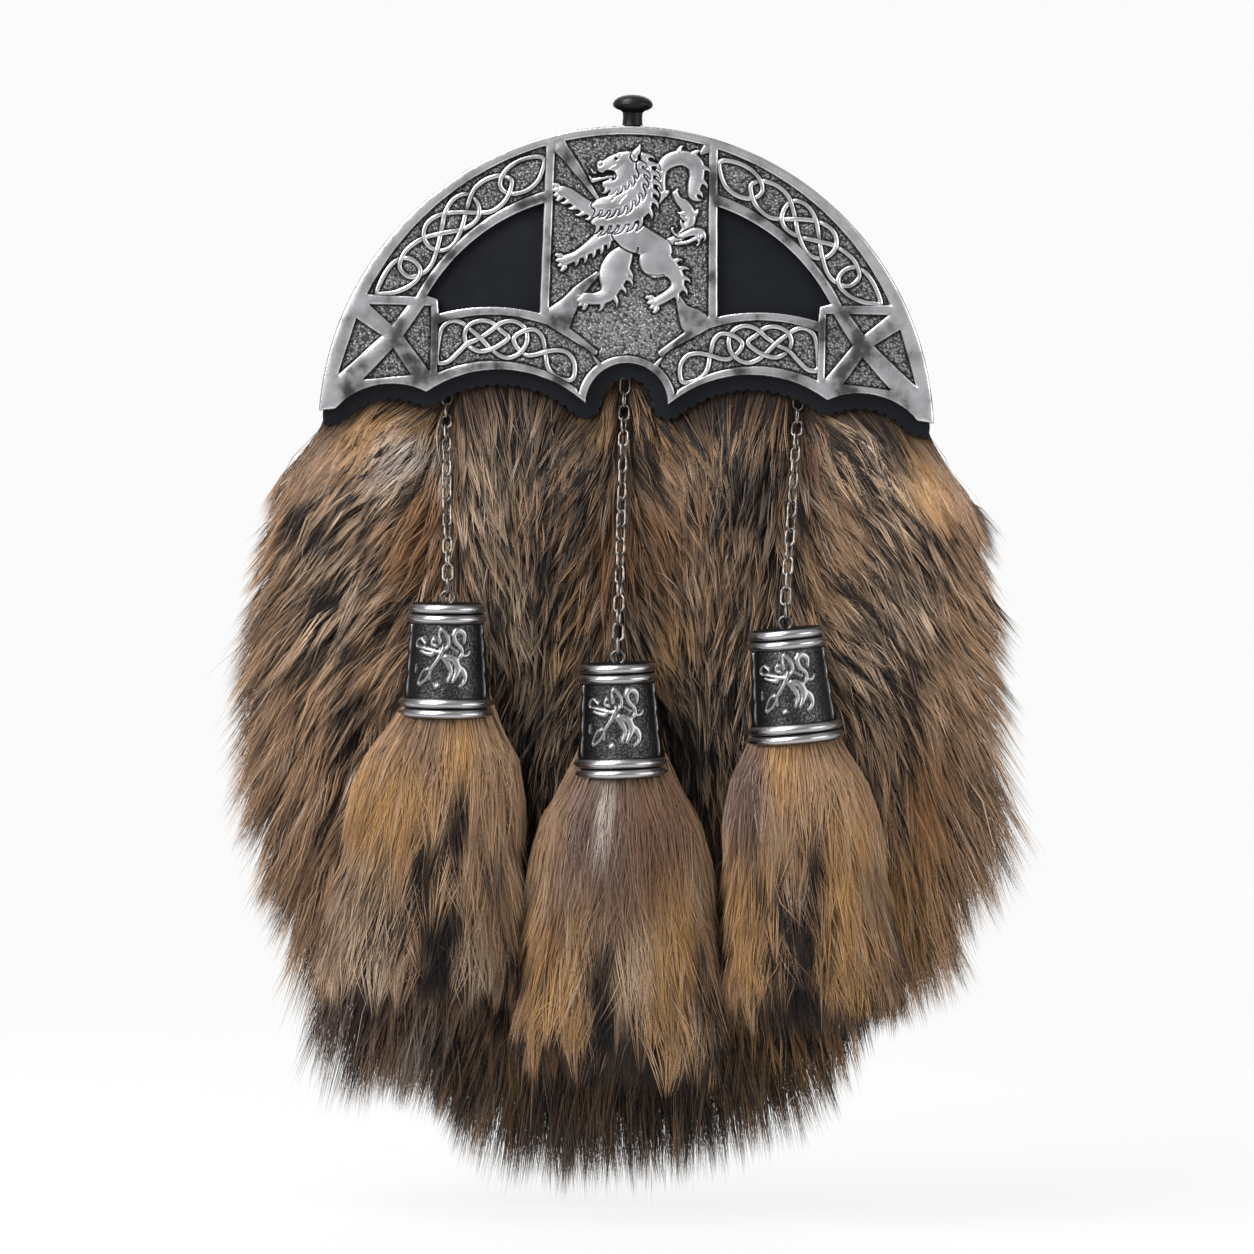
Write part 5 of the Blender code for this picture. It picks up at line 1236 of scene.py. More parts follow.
# Length in the middle, and how much longer the pile is round the edge, low down and under the tassels.
PILE_SHORT, PILE_EDGE, PILE_LOW, PILE_UNDER = 17, 10, 9, 9
PELT_WIDTH, TASSEL_WIDTH = (0.18, 0.34), (0.18, 0.30)    # least and greatest width of a hair
# By its variety a pale hair may have an ash or an umber tip and a dark one a frosted tip: from or up to
# which share, and how strong.
ASH_FROM, ASH_TIP = 0.80, 0.55
UMBER_UPTO, UMBER_TIP = 0.18, 0.8
FROST_FROM, FROST_TIP = 0.58, 0.8
LANE_TURN, LANE_REACH = 92, 17   # degrees by which the pile turns away from a chain, and how far this reaches
HIDING = 0.62                    # share of a tassel's half-width behind which the pelt is thinned
THIN_HIDDEN, THIN_MIDDLE = 0.25, 0.62    # shares of roots kept there and off the pelt's edge
SHORT_HAIRS, SHORT_LENGTH = 0.16, 0.45   # share of short hairs in the pelt, and of the length they have
STRAY_HAIRS = 0.04
LEAST_RISE, LOCK_RISE = 0.8, 6.2         # rise of the hairs off the skin, and how much more some locks rise
LOCK_PULL, EDGE_PULL = 0.88, 0.38        # how a lock draws its hairs together, and how much less at the edge
LOCK_LENGTH = 0.30, 0.46         # least and greatest share of a tassel's length that a lock covers
INNER_LOCKS, HIGH_LOCKS = 0.30, 0.36     # shares of a tassel's locks inside it, and of those from the cone

TONES = {
    "black": tone(26, 22, 21), "umber": tone(58, 45, 38), "mauve": tone(130, 106, 94),
    "russet": tone(126, 94, 74), "tan": tone(186, 150, 114), "golden": tone(206, 160, 104),
    "orange": tone(162, 116, 72), "beige": tone(212, 184, 152), "ash": tone(216, 202, 186),
    "rose": tone(204, 170, 142),
}

# Patches of the fur: x and z, half-width, half-height, share of dark hairs and the tone of the others.
PELT_PATCHES = [
    (-82, -42, 5, 7, 0.05, "rose"), (-65, -37, 14, 8, 0.15, "golden"), (-60, -47, 10, 6, 0.30, "ash"),
    (-68, -56, 11, 6, 0.75, "beige"), (-57, -67, 9, 12, 0.03, "orange"), (-84, -67, 8, 10, 0.92, "beige"),
    (-76, -86, 11, 14, 0.60, "beige"), (-66, -89, 6, 12, 0.28, "tan"), (-97, -84, 6, 26, 0.28, "tan"),
    (-73, -115, 5, 10, 0.95, "tan"), (-92, -126, 11, 16, 0.25, "tan"), (-88, -164, 12, 24, 0.35, "tan"),
    (-40, -38, 5, 9, 0.02, "russet"), (-37, -56, 7, 18, 0.38, "beige"), (-26, -41, 7, 9, 0.82, "beige"),
    (-11.5, -33, 8, 5, 0.25, "golden"), (-11.5, -52, 3, 9, 1.0, "tan"), (-21, -82, 4, 15, 0.97, "tan"),
    (-30, -92, 7, 14, 0.60, "beige"), (-14, -88, 5, 11, 0.30, "golden"), (-26, -122, 10, 15, 0.82, "beige"),
    (-3, -70, 6, 20, 0.12, "orange"), (11, -38, 9, 7, 0.45, "golden"), (33, -52, 7, 11, 0.92, "beige"),
    (10, -66, 6, 12, 0.05, "orange"), (23, -77, 6, 8, 0.15, "tan"), (13.5, -97, 5, 9, 0.12, "golden"),
    (18, -122, 6, 16, 0.93, "beige"), (29, -108, 6, 12, 0.60, "beige"), (50, -47, 4.5, 10, 0.02, "russet"),
    (57, -66, 6, 14, 0.10, "tan"), (66, -42, 9, 8, 0.80, "beige"), (74, -59, 9, 9, 0.70, "beige"),
    (83, -47, 6, 13, 0.15, "golden"), (92, -42, 5, 9, 0.03, "rose"), (96, -74, 5, 14, 0.30, "tan"),
    (76, -86, 11, 15, 0.82, "beige"), (78, -114, 4, 16, 0.97, "tan"), (66, -101, 8, 18, 0.58, "beige"),
    (95, -114, 11, 22, 0.28, "tan"), (85, -138, 7, 16, 0.15, "orange"), (74, -168, 14, 18, 0.25, "golden"),
    (-71, -196, 10, 15, 0.60, "mauve"), (-52, -204, 3, 8, 0.05, "ash"), (-47, -207, 3, 11, 0.97, "ash"),
    (-36, -212, 7, 14, 0.50, "tan"), (-25, -210, 3, 10, 0.10, "golden"), (-17, -219, 7, 9, 0.93, "tan"),
    (-2, -210, 10, 7, 0.55, "golden"), (17, -215, 9, 7, 0.92, "tan"), (50, -204, 18, 8, 0.50, "golden"),
]
TASSEL_PATCHES = [
    (-52, -118, 6, 10, 0.02, "mauve"), (-42, -121, 4, 12, 0.00, "golden"),
    (-60, -140, 12, 20, 0.05, "golden"), (-42, -141, 3.2, 12, 1.00, "tan"), (-50, -155, 5, 8, 0.80, "tan"),
    (-33, -150, 4, 26, 0.12, "tan"), (-68, -172, 11, 16, 0.20, "beige"), (-47, -176, 4.5, 14, 1.00, "tan"),
    (-38, -184, 5, 10, 0.10, "beige"), (-64, -191, 11, 6, 0.60, "beige"), (-5, -142, 11, 20, 0.00, "mauve"),
    (-3, -136, 1.8, 12, 0.00, "ash"), (12, -148, 9, 22, 0.03, "russet"), (-16, -188, 8, 22, 0.05, "golden"),
    (-4.5, -192, 3.4, 13, 1.00, "tan"), (5, -180, 6, 10, 0.05, "beige"), (16, -180, 7, 24, 0.08, "golden"),
    (22, -184, 1.8, 8, 1.00, "tan"), (5, -207, 6, 6, 0.90, "tan"), (33, -130, 7, 18, 0.02, "mauve"),
    (44, -120, 4, 10, 0.02, "golden"), (56, -135, 10, 20, 0.05, "tan"), (60, -158, 7, 24, 0.05, "golden"),
    (53, -149, 3.2, 8, 1.00, "tan"), (46, -162, 6, 9, 0.75, "tan"), (51, -176, 3.4, 14, 1.00, "tan"),
    (36, -168, 6, 20, 0.10, "golden"), (45, -191, 9, 7, 0.90, "tan"), (64, -184, 7, 12, 0.15, "golden"),
]


def colouring(x, z, patches, dark, pale):
    """Share of dark hairs and the pale hairs' colour at each place."""
    share = dark + np.zeros(x.shape)
    colour = np.tile(TONES[pale], x.shape + (1,))
    sx = x + value_noise(x, z, 7.0, 21) * 2.2
    sz = z + value_noise(x, z, 9.0, 22) * 5.0
    for at_x, at_z, wide, tall, dark_share, others in patches:
        weight = np.exp(-(((sx - at_x) / wide) ** 4 + ((sz - at_z) / tall) ** 4) * 0.8)
        share += (dark_share - share) * weight
        colour += (TONES[others] - colour) * weight[..., None]
    return share, colour


def hair_ribbons(places, across, width):
    """Tapered ribbons through the stations of each hair: quads between them and a triangle at the tip."""
    count, stations = places.shape[:2]
    taper = np.interp(np.linspace(0, 1, stations)[:-1], [0, 0.4, 0.8], [0.8, 1.0, 0.7])
    half = across[:, None] * (width[:, None] * taper[None] / 2)[..., None]
    sides = np.stack([places[:, :-1] - half, places[:, :-1] + half], 2).reshape(count, 2 * stations - 2, 3)
    points = np.concatenate([sides, places[:, -1:]], 1)
    base = np.arange(count)[:, None] * (2 * stations - 1)
    steps = np.arange(stations - 2)[:, None] * 2
    quads = (base[:, None] + (steps + [0, 1, 3, 2])).reshape(-1, 4)
    return points.reshape(-1, 3), [quads, base + 2 * stations + np.array([[-4, -3, -2]])]


def ribbon_map(count, stations):
    """A narrow cell of the bake's map for each ribbon."""
    columns = int(math.ceil(math.sqrt(count * 12)))
    rows = int(math.ceil(count / columns))
    x, y = np.arange(count) % columns, np.arange(count) // columns
    along = np.repeat(np.linspace(0.05, 0.75, stations - 1), 2)
    corner = np.c_[np.tile([0.15, 0.85], stations - 1), along]
    corner = np.r_[corner, [(0.5, 0.97)]]
    return ((np.stack([x, y], 1)[:, None] + corner) / (columns, rows)).reshape(-1, 2)


def hair_colours(x, z, along, patches, dark, luck, contrast, rooted):
    """Colour at each station of each hair: pale hairs with dark roots, some with dark tips, and dark hairs.

    along has the stations' shares of a hair's length. luck has a row of random shares for each hair: which
    kind it is, its variety and its brightness, which in the pelt follows its lock's rise in part as painted
    shade. rooted says how dark the roots of the pale hairs are.
    """
    share, band = colouring(x, z, patches, dark, "tan")
    t = np.broadcast_to(along, x.shape)[..., None]
    black, umber, mauve = TONES["black"], TONES["umber"], TONES["mauve"]
    variety = luck[:, 1:2, None]
    tipped = np.clip((t - 0.25) / 0.6, 0, 1)
    pale_hair = band + (umber - band) * np.reshape(rooted, (-1, 1, 1)) * (1 - tipped)
    pale_hair = pale_hair + (TONES["ash"] - pale_hair) * np.where(variety > ASH_FROM, ASH_TIP, 0.0) * tipped
    pale_hair = pale_hair + (umber - pale_hair) * np.where(variety < UMBER_UPTO, UMBER_TIP, 0.0) * (t > 0.9)
    dark_hair = umber + (black - umber) * np.clip(t * 1.5, 0, 1) + 0 * pale_hair
    frost = np.where(variety > FROST_FROM, FROST_TIP, 0.0) * tipped
    frost = frost * np.clip((1.0 - share[..., None]) / 0.15, 0, 1)
    dark_hair = dark_hair + (0.5 * band + 0.45 * mauve - dark_hair) * frost
    found = np.where((luck[:, :1] < share)[..., None], dark_hair, pale_hair)
    uneven = (luck[:, 2:, None] - 0.5) * contrast * (0.4 + share[..., None])
    return found * np.clip(1 + uneven * (0.35 + 0.65 * t), 0.12, 2.0)


def add_fur(name, places, width, colours, finish, slot, stands_for=()):
    """Add one piece of hair ribbons that face outwards, each turned a little about its length."""
    along = places[:, -1] - places[:, 0]
    along /= np.linalg.norm(along, axis=1)[:, None]
    bend = places[:, 1] - (places[:, 0] + places[:, -1]) / 2
    across = np.cross(along, bend + np.array([0, -6.0, 0]))
    across /= np.maximum(np.linalg.norm(across, axis=1), 1e-6)[:, None]
    normal = np.cross(across, along)
    roll = chance.normal(0, 0.45, len(places))[:, None]
    across = across * np.cos(roll) + normal * np.sin(roll)
    points, faces = hair_ribbons(places, across, width)
    tint = np.concatenate([np.repeat(colours[:, :-1], 2, 1), colours[:, -1:]], 1).reshape(-1, 3)
    add_piece(name, points, faces, finish, slot, stands_for, 180, Tint=np.clip(tint, 0, 1),
              map=ribbon_map(*places.shape[:2]))


def cantle_edge(x):
    """Height of the backing's lower edge."""
    order = np.argsort(BACKING_LINE[:, 0])
    return np.interp(x, BACKING_LINE[order, 0], BACKING_LINE[order, 1])


def lane_x(row, z):
    """Where a chain hangs at heights z."""
    part = np.clip((row["chain_z"] - z) / (row["chain_z"] - row["cone_z"]), 0, 1)
    return row["chain_x"] + (row["cone_x"] - row["chain_x"]) * part


def flow_angle(x, z):
    """Angle of the pile from straight down, in radians, positive to the right."""
    across = np.clip(x / np.maximum(body_half(z), 40.0), -1, 1)
    angle = np.interp(-z, EDGE_LEAN[0], EDGE_LEAN[1]) * np.sign(across) * np.abs(across) ** 1.8
    for row in HANGINGS.values():
        away = x - lane_x(row, z)
        above = np.clip((z - row["cone_z"] + 25) / 20, 0, 1)
        angle = angle + LANE_TURN * np.tanh(away / 6.0) * np.exp(-np.abs(away) / LANE_REACH) * above
    return np.radians(angle + 10 * value_noise(x, z, 16, 31) + 9 * value_noise(x, z, 6, 32))


def near_tassel(x, z):
    """Whether a tassel's middle hides this place."""
    hidden = np.zeros(x.shape, bool)
    for row in HANGINGS.values():
        foot = row["cone_z"] - CONE_HEIGHT
        part = (foot - z) / (foot - row["end"])
        half = row["half"] * HIDING
        hidden |= (part > 0.12) & (part < 0.72) & (np.abs(x - row["cone_x"] - row["drift"] * part) < half)
    return hidden


def scatter(count, low, high):
    """Random roots over the pelt, few of them where a tassel hides it."""
    found = []
    while sum(map(len, found)) < count:
        spots = chance.uniform(low, high, (count, 2))
        x, z = spots.T
        kept = (np.abs(x) < body_half(z, PELT_REACH) - 0.3) & (z < cantle_edge(x) + 1.0)
        kept &= ~near_tassel(x, z) | (chance.random(count) < THIN_HIDDEN)
        rim = (np.abs(x) > 0.84 * body_half(z)) | (z < BODY_BOTTOM + 22)
        kept &= rim | (chance.random(count) < THIN_MIDDLE)
        found.append(spots[kept])
    return np.concatenate(found)[:count]


def pile_length(x, z):
    """Length of the pile, short in the middle, longer round the edge but short at its lower right."""
    edge = np.clip(np.maximum(np.abs(x) / np.maximum(body_half(z), 40.0), (-z - 120) / 80), 0, 1)
    length = PILE_SHORT + PILE_EDGE * edge ** 4 + PILE_LOW * np.clip((-60 - z) / 120, 0, 1) * edge
    left, right = (np.interp(PILE_FALL - z, PILE_TRIM[0], side) for side in PILE_TRIM[1:])
    trim = np.where(x < 0, left, right)
    flank = np.clip(np.abs(x) / np.maximum(body_half(z), 40.0), 0, 1) ** 4
    under = np.exp(-((x + 22) / 38) ** 4) * np.clip((-180 - z) / 15, 0, 1)
    length = length + trim * flank + PILE_UNDER * under
    return length * (1 - 0.26 * np.clip((x - 20) / 30, 0, 1) * np.clip((-168 - z) / 22, 0, 1))


def parting(x, z):
    """Share of the pelt's height that gives way behind the upper end of each chain."""
    found = np.zeros(np.shape(x))
    for row in HANGINGS.values():
        away = np.exp(-((x - lane_x(row, z)) / 2.6) ** 4)
        found = np.maximum(found, away * np.clip((z - row["chain_z"] + 24) / 12, 0, 1))
    return found


def pelt_hairs(count):
    """Stations, widths and colours of the pelt's hairs, combed and drawn together in locks."""
    corner = BODY_HALF + PELT_REACH
    roots = scatter(count, (-corner, BODY_BOTTOM), (corner, -20.0))
    locks = scatter(PELT_LOCKS, (-corner, BODY_BOTTOM), (corner, -20.0))
    tree = KDTree(len(locks))
    for k, (x, z) in enumerate(locks):
        tree.insert((x, z, 0), k)
    tree.balance()
    owner = np.array([tree.find((x, z, 0))[1] for x, z in roots])
    x, z = roots.T
    edge = np.clip(np.abs(x) / body_half(z), 0, 1) ** 3
    edge = np.maximum(edge, np.clip((BODY_BOTTOM + 18 - z) / 18, 0, 1))
    short = chance.random(count) < SHORT_HAIRS
    stray = (chance.random(count) < STRAY_HAIRS * (1 - 0.7 * edge)) & ~short
    ragged = chance.uniform(-0.30, 0.06, count) * (1 - 0.2 * edge)
    length = pile_length(x, z) * (1 + ragged) * np.where(short, SHORT_LENGTH, 1)
    lock_luck = chance.random((len(locks), 5))
    lean = flow_angle(x, z) + chance.normal(0, 0.06, count) + np.where(stray, chance.normal(0, 0.3, count), 0)
    share = PELT_SHARES
    bent = lean[:, None] * (1 - PILE_BEND * (share[1:] + share[:-1]) / 2)
    step = np.stack([np.sin(bent), -np.cos(bent)], -1) * (length[:, None] * np.diff(share))[..., None]
    flat = roots[:, None] + np.concatenate([np.zeros((count, 1, 2)), np.cumsum(step, 1)], 1)
    lock_x, lock_z = locks.T
    lock_lean = (flow_angle(lock_x, lock_z) + (lock_luck[:, 0] - 0.5) * 0.6) * (1 - PILE_BEND / 2)
    lock_tip = locks + np.c_[np.sin(lock_lean), -np.cos(lock_lean)] * pile_length(lock_x, lock_z)[:, None]
    along = flat[:, -1] - roots
    along /= np.linalg.norm(along, axis=1)[:, None]
    pull = lock_tip[owner] + (roots - locks[owner]) * 0.12 - flat[:, -1]
    pull *= np.where(stray | short, 0.0, LOCK_PULL - EDGE_PULL * edge)[:, None]
    pull -= along * (pull * along).sum(1)[:, None] * 0.6
    flat += pull[:, None] * (share ** 2)[None, :, None]
    px, pz = flat[..., 0], np.maximum(flat[..., 1], PELT_LOWEST + chance.uniform(0, 9, count)[:, None])
    rise = LEAST_RISE + LOCK_RISE * lock_luck[owner, 1] + chance.uniform(0, 1.3, count)
    rise = np.where(short, LEAST_RISE, rise + np.where(stray, 1.5, 0))
    out = rise[:, None] * (1 - (1 - share) ** 1.5) + 0.25
    half = body_half(np.clip(pz, BODY_BOTTOM + 6, None))
    past = np.clip(np.abs(px) - half, 0, None) + np.clip(BODY_BOTTOM - pz, 0, None)
    skin = front_face(np.clip(px, -half, half), np.clip(pz, BODY_BOTTOM, None)) - SKIN
    sunk = parting(px, pz)
    skin += 3.0 * sunk
    out *= 1 - 0.8 * sunk
    spread = chance.uniform(-0.15, 0.45, count)[:, None] * past
    py = skin - out + spread
    depth_below = np.maximum(cantle_edge(px) - pz - 0.5, 0)
    py = np.maximum(py, BACKING_BACK + 0.2 - 0.45 * depth_below)
    # Painted shade: a hair's brightness follows its lock's rise in part, so that locks lying low on the skin
    # are darker and locks rising high are lighter.
    luck = np.stack([0.85 * lock_luck[owner, 2] + 0.15 * chance.random(count),
                     0.7 * lock_luck[owner, 4] + 0.3 * chance.random(count),
                     0.15 * chance.random(count) + 0.40 * lock_luck[owner, 3]
                     + 0.45 * lock_luck[owner, 1]], 1)
    # Painted shade: the hairs are darkened across the pelt's middle and towards its bottom.
    depth = PELT_LIGHT * (1 - 0.48 * np.exp(-(px / 47) ** 4)) * (1 - 0.4 * np.clip((-192 - pz) / 15, 0, 1))
    colours = hair_colours(px, pz, share, PELT_PATCHES, 0.54, luck, 2.6, 0.9) * depth[..., None]
    colours = np.where(short[:, None, None], TONES["umber"] * 0.6 + colours * 0.2, colours)
    return np.stack([px, py, pz], -1), chance.uniform(*PELT_WIDTH, count) * (1 - 0.3 * edge), colours


def build_pelt(finish, under):
    levels = np.r_[np.linspace(-8.0, SWELL_TOP + 2, 8), body_rows(SWELL_TOP, 40)]
    skin = curved_sheet(lambda x, z: front_face(x, z) - SKIN + 2.4 * parting(x, z),
                        lambda x, z: front_face(x, z) - 0.6, levels, 90, PELT_REACH)
    add_piece("pelt_skin", *skin, under, "pelt_fur", ["fur_front"], 60)
    places, width, colours = pelt_hairs(PELT_HAIRS)
    x = places[:, 0, 0]
    cuts = [-99, -40, 0, 40, 99]
    for name, low, high in zip(("far_left", "left", "right", "far_right"), cuts, cuts[1:]):
        kept = (x >= low) & (x < high)
        add_fur("pelt_hair_" + name, places[kept], width[kept], colours[kept], finish, "pelt_fur")


# Places down a tassel, and its half-width there as a share of the half-width that its row gives.
PEAR_DOWN = [0.0, 0.05, 0.13, 0.26, 0.37, 0.49, 0.62, 0.78, 0.88, 1.0]
PEAR_WIDE = [0.45, 0.63, 0.78, 0.88, 0.92, 0.96, 1.02, 1.06, 1.04, 0.92]


def build_tassel(side, row, finish, under):
    """Pear of long hair hung from inside the cone, drawn together in locks that end one over another."""
    foot = cone_frame(row) @ Vector((0, 0, -CONE_HEIGHT))
    length = foot.z - row["end"]

    def pear(down, angle, share):
        wide = np.interp(down, PEAR_DOWN, PEAR_WIDE)
        deep = TASSEL_DEPTH * np.clip(0.6 + 0.5 * wide, 0, 1) * np.interp(down, [0, 0.12], [0.8, 1])
        return np.stack([foot.x + row["drift"] * down + row["half"] * wide * share * np.cos(angle),
                         foot.y + deep * share * np.sin(angle) * np.interp(down, [0.7, 1], [1, 0.75]),
                         foot.z - length * down], -1)

    downs, angles = np.meshgrid(np.linspace(-0.12, 0.80, 16), np.arange(24) * math.tau / 24, indexing="ij")
    core = tube(pear(downs, -angles, 0.55))
    add_piece("tassel_core_" + side, *core, under, "tassel_fur", ["tassel_" + side], 60)

    locks, count = TASSEL_LOCKS, TASSEL_HAIRS
    lock_angle = chance.uniform(0, math.tau, locks)
    inner = chance.random(locks) < INNER_LOCKS
    high = chance.random(locks) < HIGH_LOCKS
    lock_root = np.where(inner | high, chance.uniform(-0.04, 0.04, locks), chance.uniform(0.04, 0.68, locks))
    lock_end = lock_root + chance.uniform(*LOCK_LENGTH, locks)
    lock_end = np.minimum(lock_end, 1.0 - chance.uniform(0.0, 0.20, locks))
    lock_end = np.where(inner, 1.0 - chance.uniform(0.0, 0.12, locks), lock_end)
    lock_share = np.where(inner, chance.uniform(0.25, 0.86, locks), chance.uniform(0.93, 1.05, locks))
    lock_luck = chance.random((locks, 3))
    lock_tilt = chance.normal(0, 0.07, locks)
    owner = chance.integers(0, locks, count)
    start = lock_root[owner] + chance.normal(0, 0.02, count)
    end = lock_end[owner] - np.abs(chance.normal(0, 0.04, count))
    t = TASSEL_SHARES
    down = start[:, None] + (end - start)[:, None] * t
    spread = chance.normal(0, 0.20, count)[:, None] * (1 - 0.88 * t ** 1.3)
    turn = lock_angle[owner][:, None] + spread + lock_tilt[owner][:, None] * t
    sunk = np.where((start > 0.05) & ~inner[owner], 0.17, 0.02)
    lift = lock_share[owner][:, None] - sunk[:, None] * (1 - t) ** 0.8
    lift = lift + chance.normal(0, 0.02, (count, 1)) * t
    places = pear(down, turn, np.clip(lift, 0.2, 1.09))
    stray = chance.random(count) < 0.03
    places[:, -1] += stray[:, None] * chance.normal(0, 2.0, (count, 3))
    luck = np.stack([0.85 * lock_luck[owner, 0] + 0.15 * chance.random(count),
                     0.6 * lock_luck[owner, 2] + 0.4 * chance.random(count),
                     0.35 * chance.random(count) + 0.65 * lock_luck[owner, 1]], 1)
    dark = 0.05 + 0.46 * np.clip((down - 0.32) / 0.5, 0, 1)
    rooted = np.clip(0.12 + 1.1 * start, 0.12, 0.85)
    colours = hair_colours(places[..., 0], places[..., 2], t, TASSEL_PATCHES, dark, luck, 1.9, rooted)
    # Painted shade: low in the tassel the hairs of inner locks are darkened towards black and umber.
    deep = np.clip((down - 0.40) / 0.3, 0, 1) * np.clip((0.90 - lock_share[owner]) / 0.1, 0, 1)[:, None]
    shade = TONES["black"] + (TONES["umber"] - TONES["black"]) * luck[:, 1:2]
    colours = (colours + (shade[:, None] - colours) * deep[..., None]) * TASSEL_LIGHT
    width = chance.uniform(*TASSEL_WIDTH, count)
    add_fur("tassel_hair_" + side, places, width, colours, finish, "tassel_fur")


# ---------------------------------------------------------------- stage

PHOTO = 1254                     # pixels across the photograph
PIXEL = 0.27                     # millimetres of the cantle's plane in one of them
ROLL = math.radians(1.2)         # turn of the sporran in the photograph
RISE = math.radians(2.5)         # camera's height over the level
AWAY = 2200.0
FLOOR = -246.0
FLOOR_GLOW = 0.82
FLOOR_FADE = 0.30, 0.75          # metres from its middle between which the floor fades
BACKGROUND = 0.965
PLATE_PIXEL = 626, 434.5         # where the centre of the cantle's arc lies in the photograph
# Brightness of the studio's walls by height, from straight down (-1) to straight up (1).
SKY = [(-1.0, 0.45), (-0.45, 0.30), (-0.14, 0.86), (0.12, 0.92), (0.40, 0.40), (1.0, 0.95)]
SKY_STRENGTH = 0.62
# Name, place, width and height, and watts of each light, all turned to the same place.
LIGHTS = [("key", (-900, -900, 800), (1100, 1100), 24.0), ("fill", (1100, -700, 200), (900, 1000), 6.0),
          ("top", (-420, -150, 1050), (600, 500), 10.0), ("rear", (0, 1100, 500), (900, 600), 3.0)]
LIT_PLACE = (0, -40, -80)


def build_floor():
    """Round pale floor that fades into the background."""
    made = Finish("pale_floor", Roughness=0.8, Specular_IOR_Level=0.1, Emission_Strength=FLOOR_GLOW)
    place = made.add("TexCoord").outputs["Object"]
    far = made.add("VectorMath", {"Vector": place}, operation="LENGTH").outputs["Value"]
    fade = {"Value": far, "From Min": FLOOR_FADE[0], "From Max": FLOOR_FADE[1], "To Min": 1.0, "To Max": 0.0}
    faded = made.add("MapRange", fade, interpolation_type="SMOOTHSTEP").outputs[0]
    cloud = made.noise(300.0, 2.0)
    made.feed(made.shader, {"Base Color": made.ramp(cloud, (0.3, grey(0.10)), (0.7, grey(0.105))),
                            "Emission Color": (1, 1, 1, 1), "Alpha": faded})
    rings, sides = (0.0, 100.0, 200.0, 300.0, 450.0, 600.0, 760.0), 64
    angles = np.arange(sides) * math.tau / sides
    points = [np.c_[r * np.cos(angles), r * np.sin(angles), np.zeros(sides)] for r in rings[1:]]
    points = np.r_[[[0, 0, 0]], np.concatenate(points)] * MM
    fan = [(0, 1 + k, 1 + (k + 1) % sides) for k in range(sides)]
    quads = (grid_faces(len(rings) - 1, sides, True) + 1)[:, ::-1]
    mesh = bpy.data.meshes.new("floor")
    mesh.from_pydata(points.tolist(), [], fan + quads.tolist())
    mesh.materials.append(made.made)
    floor = bpy.data.objects.new("floor", mesh)
    floor.location = (0, 0, FLOOR * MM)
    bpy.context.scene.collection.objects.link(floor)


def add_light(name, place, size, power):
    data = bpy.data.lights.new(name, "AREA")
    data.shape, data.size, data.size_y = "RECTANGLE", size[0] * MM, size[1] * MM
    data.energy = power
    lamp = bpy.data.objects.new(name, data)
    lamp.location = Vector(place) * MM
    lamp.rotation_euler = (Vector(LIT_PLACE) - Vector(place)).to_track_quat("-Z", "Y").to_euler()
    bpy.context.scene.collection.objects.link(lamp)


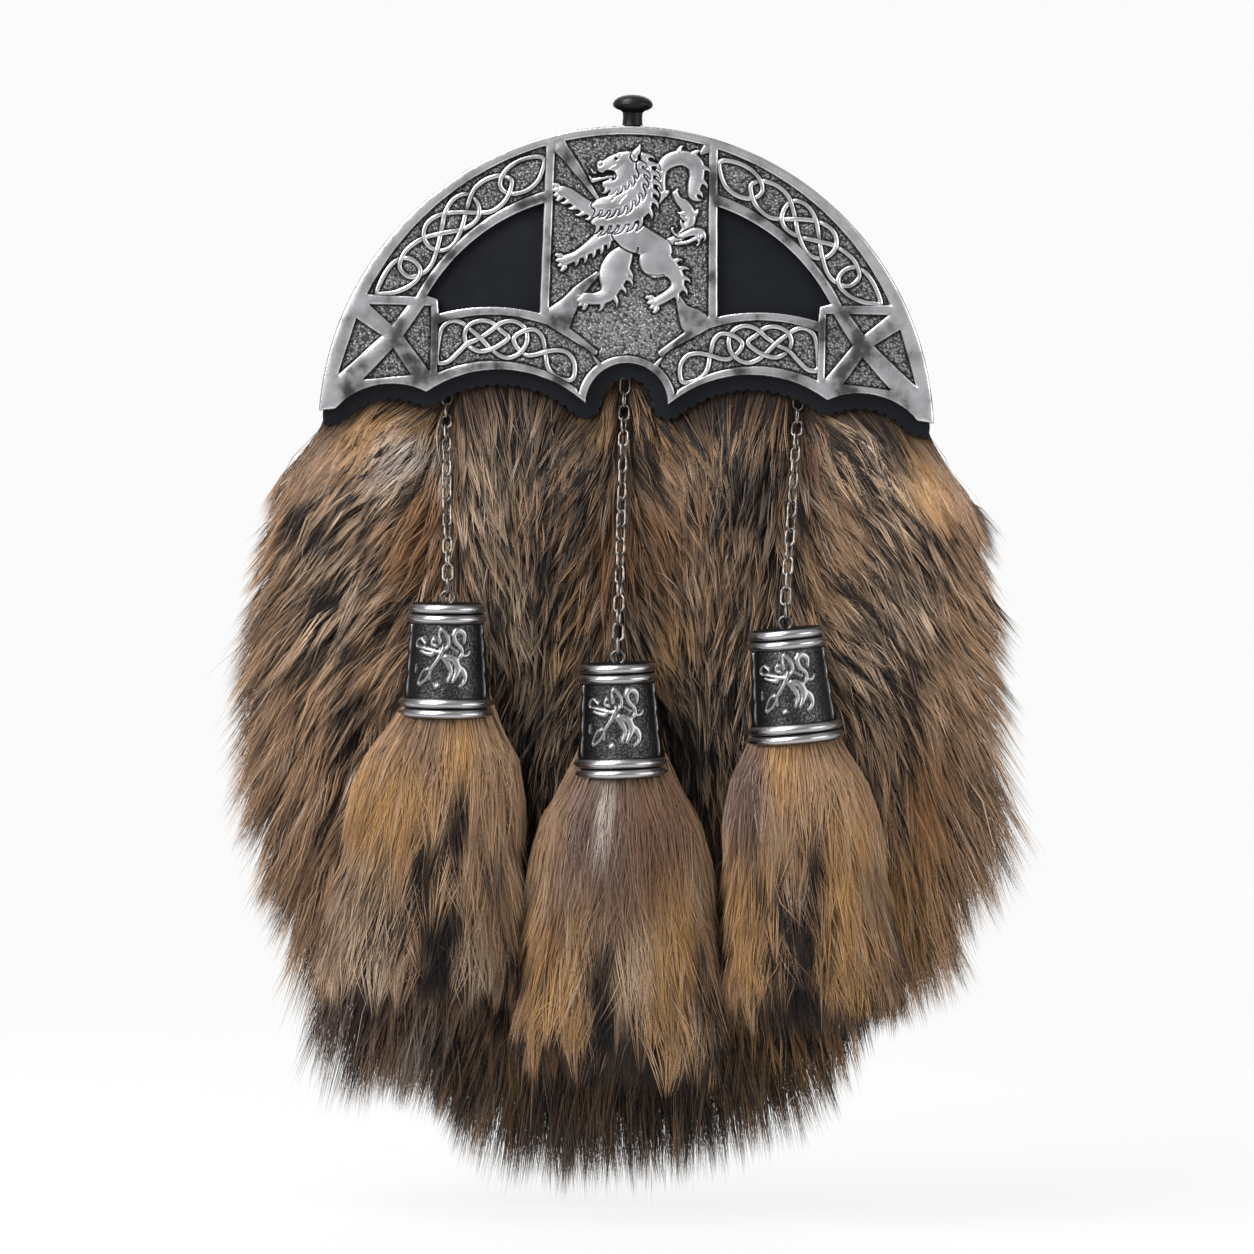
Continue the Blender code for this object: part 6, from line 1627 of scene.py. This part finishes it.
def build_studio():
    scene = bpy.context.scene
    world = bpy.data.worlds.new("studio")
    world.use_nodes = True
    studio = Nodes(world.node_tree)
    seen = studio.nodes["Background"]
    studio.feed(seen, {"Color": (BACKGROUND, BACKGROUND, BACKGROUND, 1)})
    place = studio.add("TexCoord").outputs["Generated"]
    upward = studio.add("SeparateXYZ", {0: place}).outputs["Z"]
    height = studio.add("MapRange", {"Value": upward, "From Min": -1.0}).outputs[0]
    sky = studio.ramp(height, *[((at + 1) / 2, (level, level, level)) for at, level in SKY])
    lit = studio.add("Background", {"Color": sky, "Strength": SKY_STRENGTH})
    viewed = studio.add("LightPath").outputs["Is Camera Ray"]
    mixed = studio.add("MixShader", {"Fac": viewed, 1: lit.outputs[0], 2: seen.outputs[0]})
    studio.feed(studio.nodes["World Output"], {"Surface": mixed.outputs[0]})
    scene.world = world
    for light in LIGHTS:
        add_light(*light)
    scene.view_settings.view_transform = "Standard"

    data = bpy.data.cameras.new("camera")
    data.sensor_width = 36.0
    data.lens = data.sensor_width * AWAY / (PHOTO * PIXEL)
    data.clip_start, data.clip_end = 0.05, 60.0
    camera = bpy.data.objects.new("camera", data)
    right, down = ((PHOTO / 2 - at) * PIXEL for at in PLATE_PIXEL)
    target = Vector((right * math.cos(ROLL) + down * math.sin(ROLL), CANTLE_BACK,
                     CANTLE_CENTRE + right * math.sin(ROLL) - down * math.cos(ROLL)))
    back = Vector((0, -math.cos(RISE), math.sin(RISE)))
    camera.location = (target + back * AWAY) * MM
    turn = (-back).to_track_quat("-Z", "Y").to_matrix() @ Matrix.Rotation(ROLL, 3, "Z")
    camera.rotation_euler = turn.to_euler()
    scene.collection.objects.link(camera)
    scene.camera = camera


def main():
    leather = leather_finish("black_leather", np.array([0.0055, 0.0065, 0.0095]), 0.36)
    dark_metal = clouded_finish("chain_dark_metal", 1.6, ((0.35, grey(0.09)), (0.62, (0.36, 0.32, 0.28))),
                                (0.30, 0.45), 0.7, 0.04, 0.4, Metallic=1.0)
    cone_metal = pewter_finish("cone_metal", 0.47, 0.015, 0.24, tarnish=0.3)
    pelt, tassel = fur_finish("pelt_hair", 0.52), fur_finish("tassel_hair", 0.42)
    under = underfur_finish("underfur", tone(44, 34, 28), tone(86, 64, 48))
    core = underfur_finish("tassel_underfur", tone(96, 72, 56), tone(132, 104, 82))
    build_cantle()
    build_backing(leather)
    build_stud()
    build_leather(leather, thread_finish())
    for side, row in HANGINGS.items():
        build_chain(side, row, dark_metal)
        build_cone(side, row, cone_metal)
        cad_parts["chain_rivet_" + side].data.materials.clear()
        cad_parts["chain_rivet_" + side].data.materials.append(dark_metal)
    build_pelt(pelt, under)
    for side, row in HANGINGS.items():
        build_tassel(side, row, tassel, core)
    build_floor()
    build_studio()


main()
bpy.context.view_layer.update()
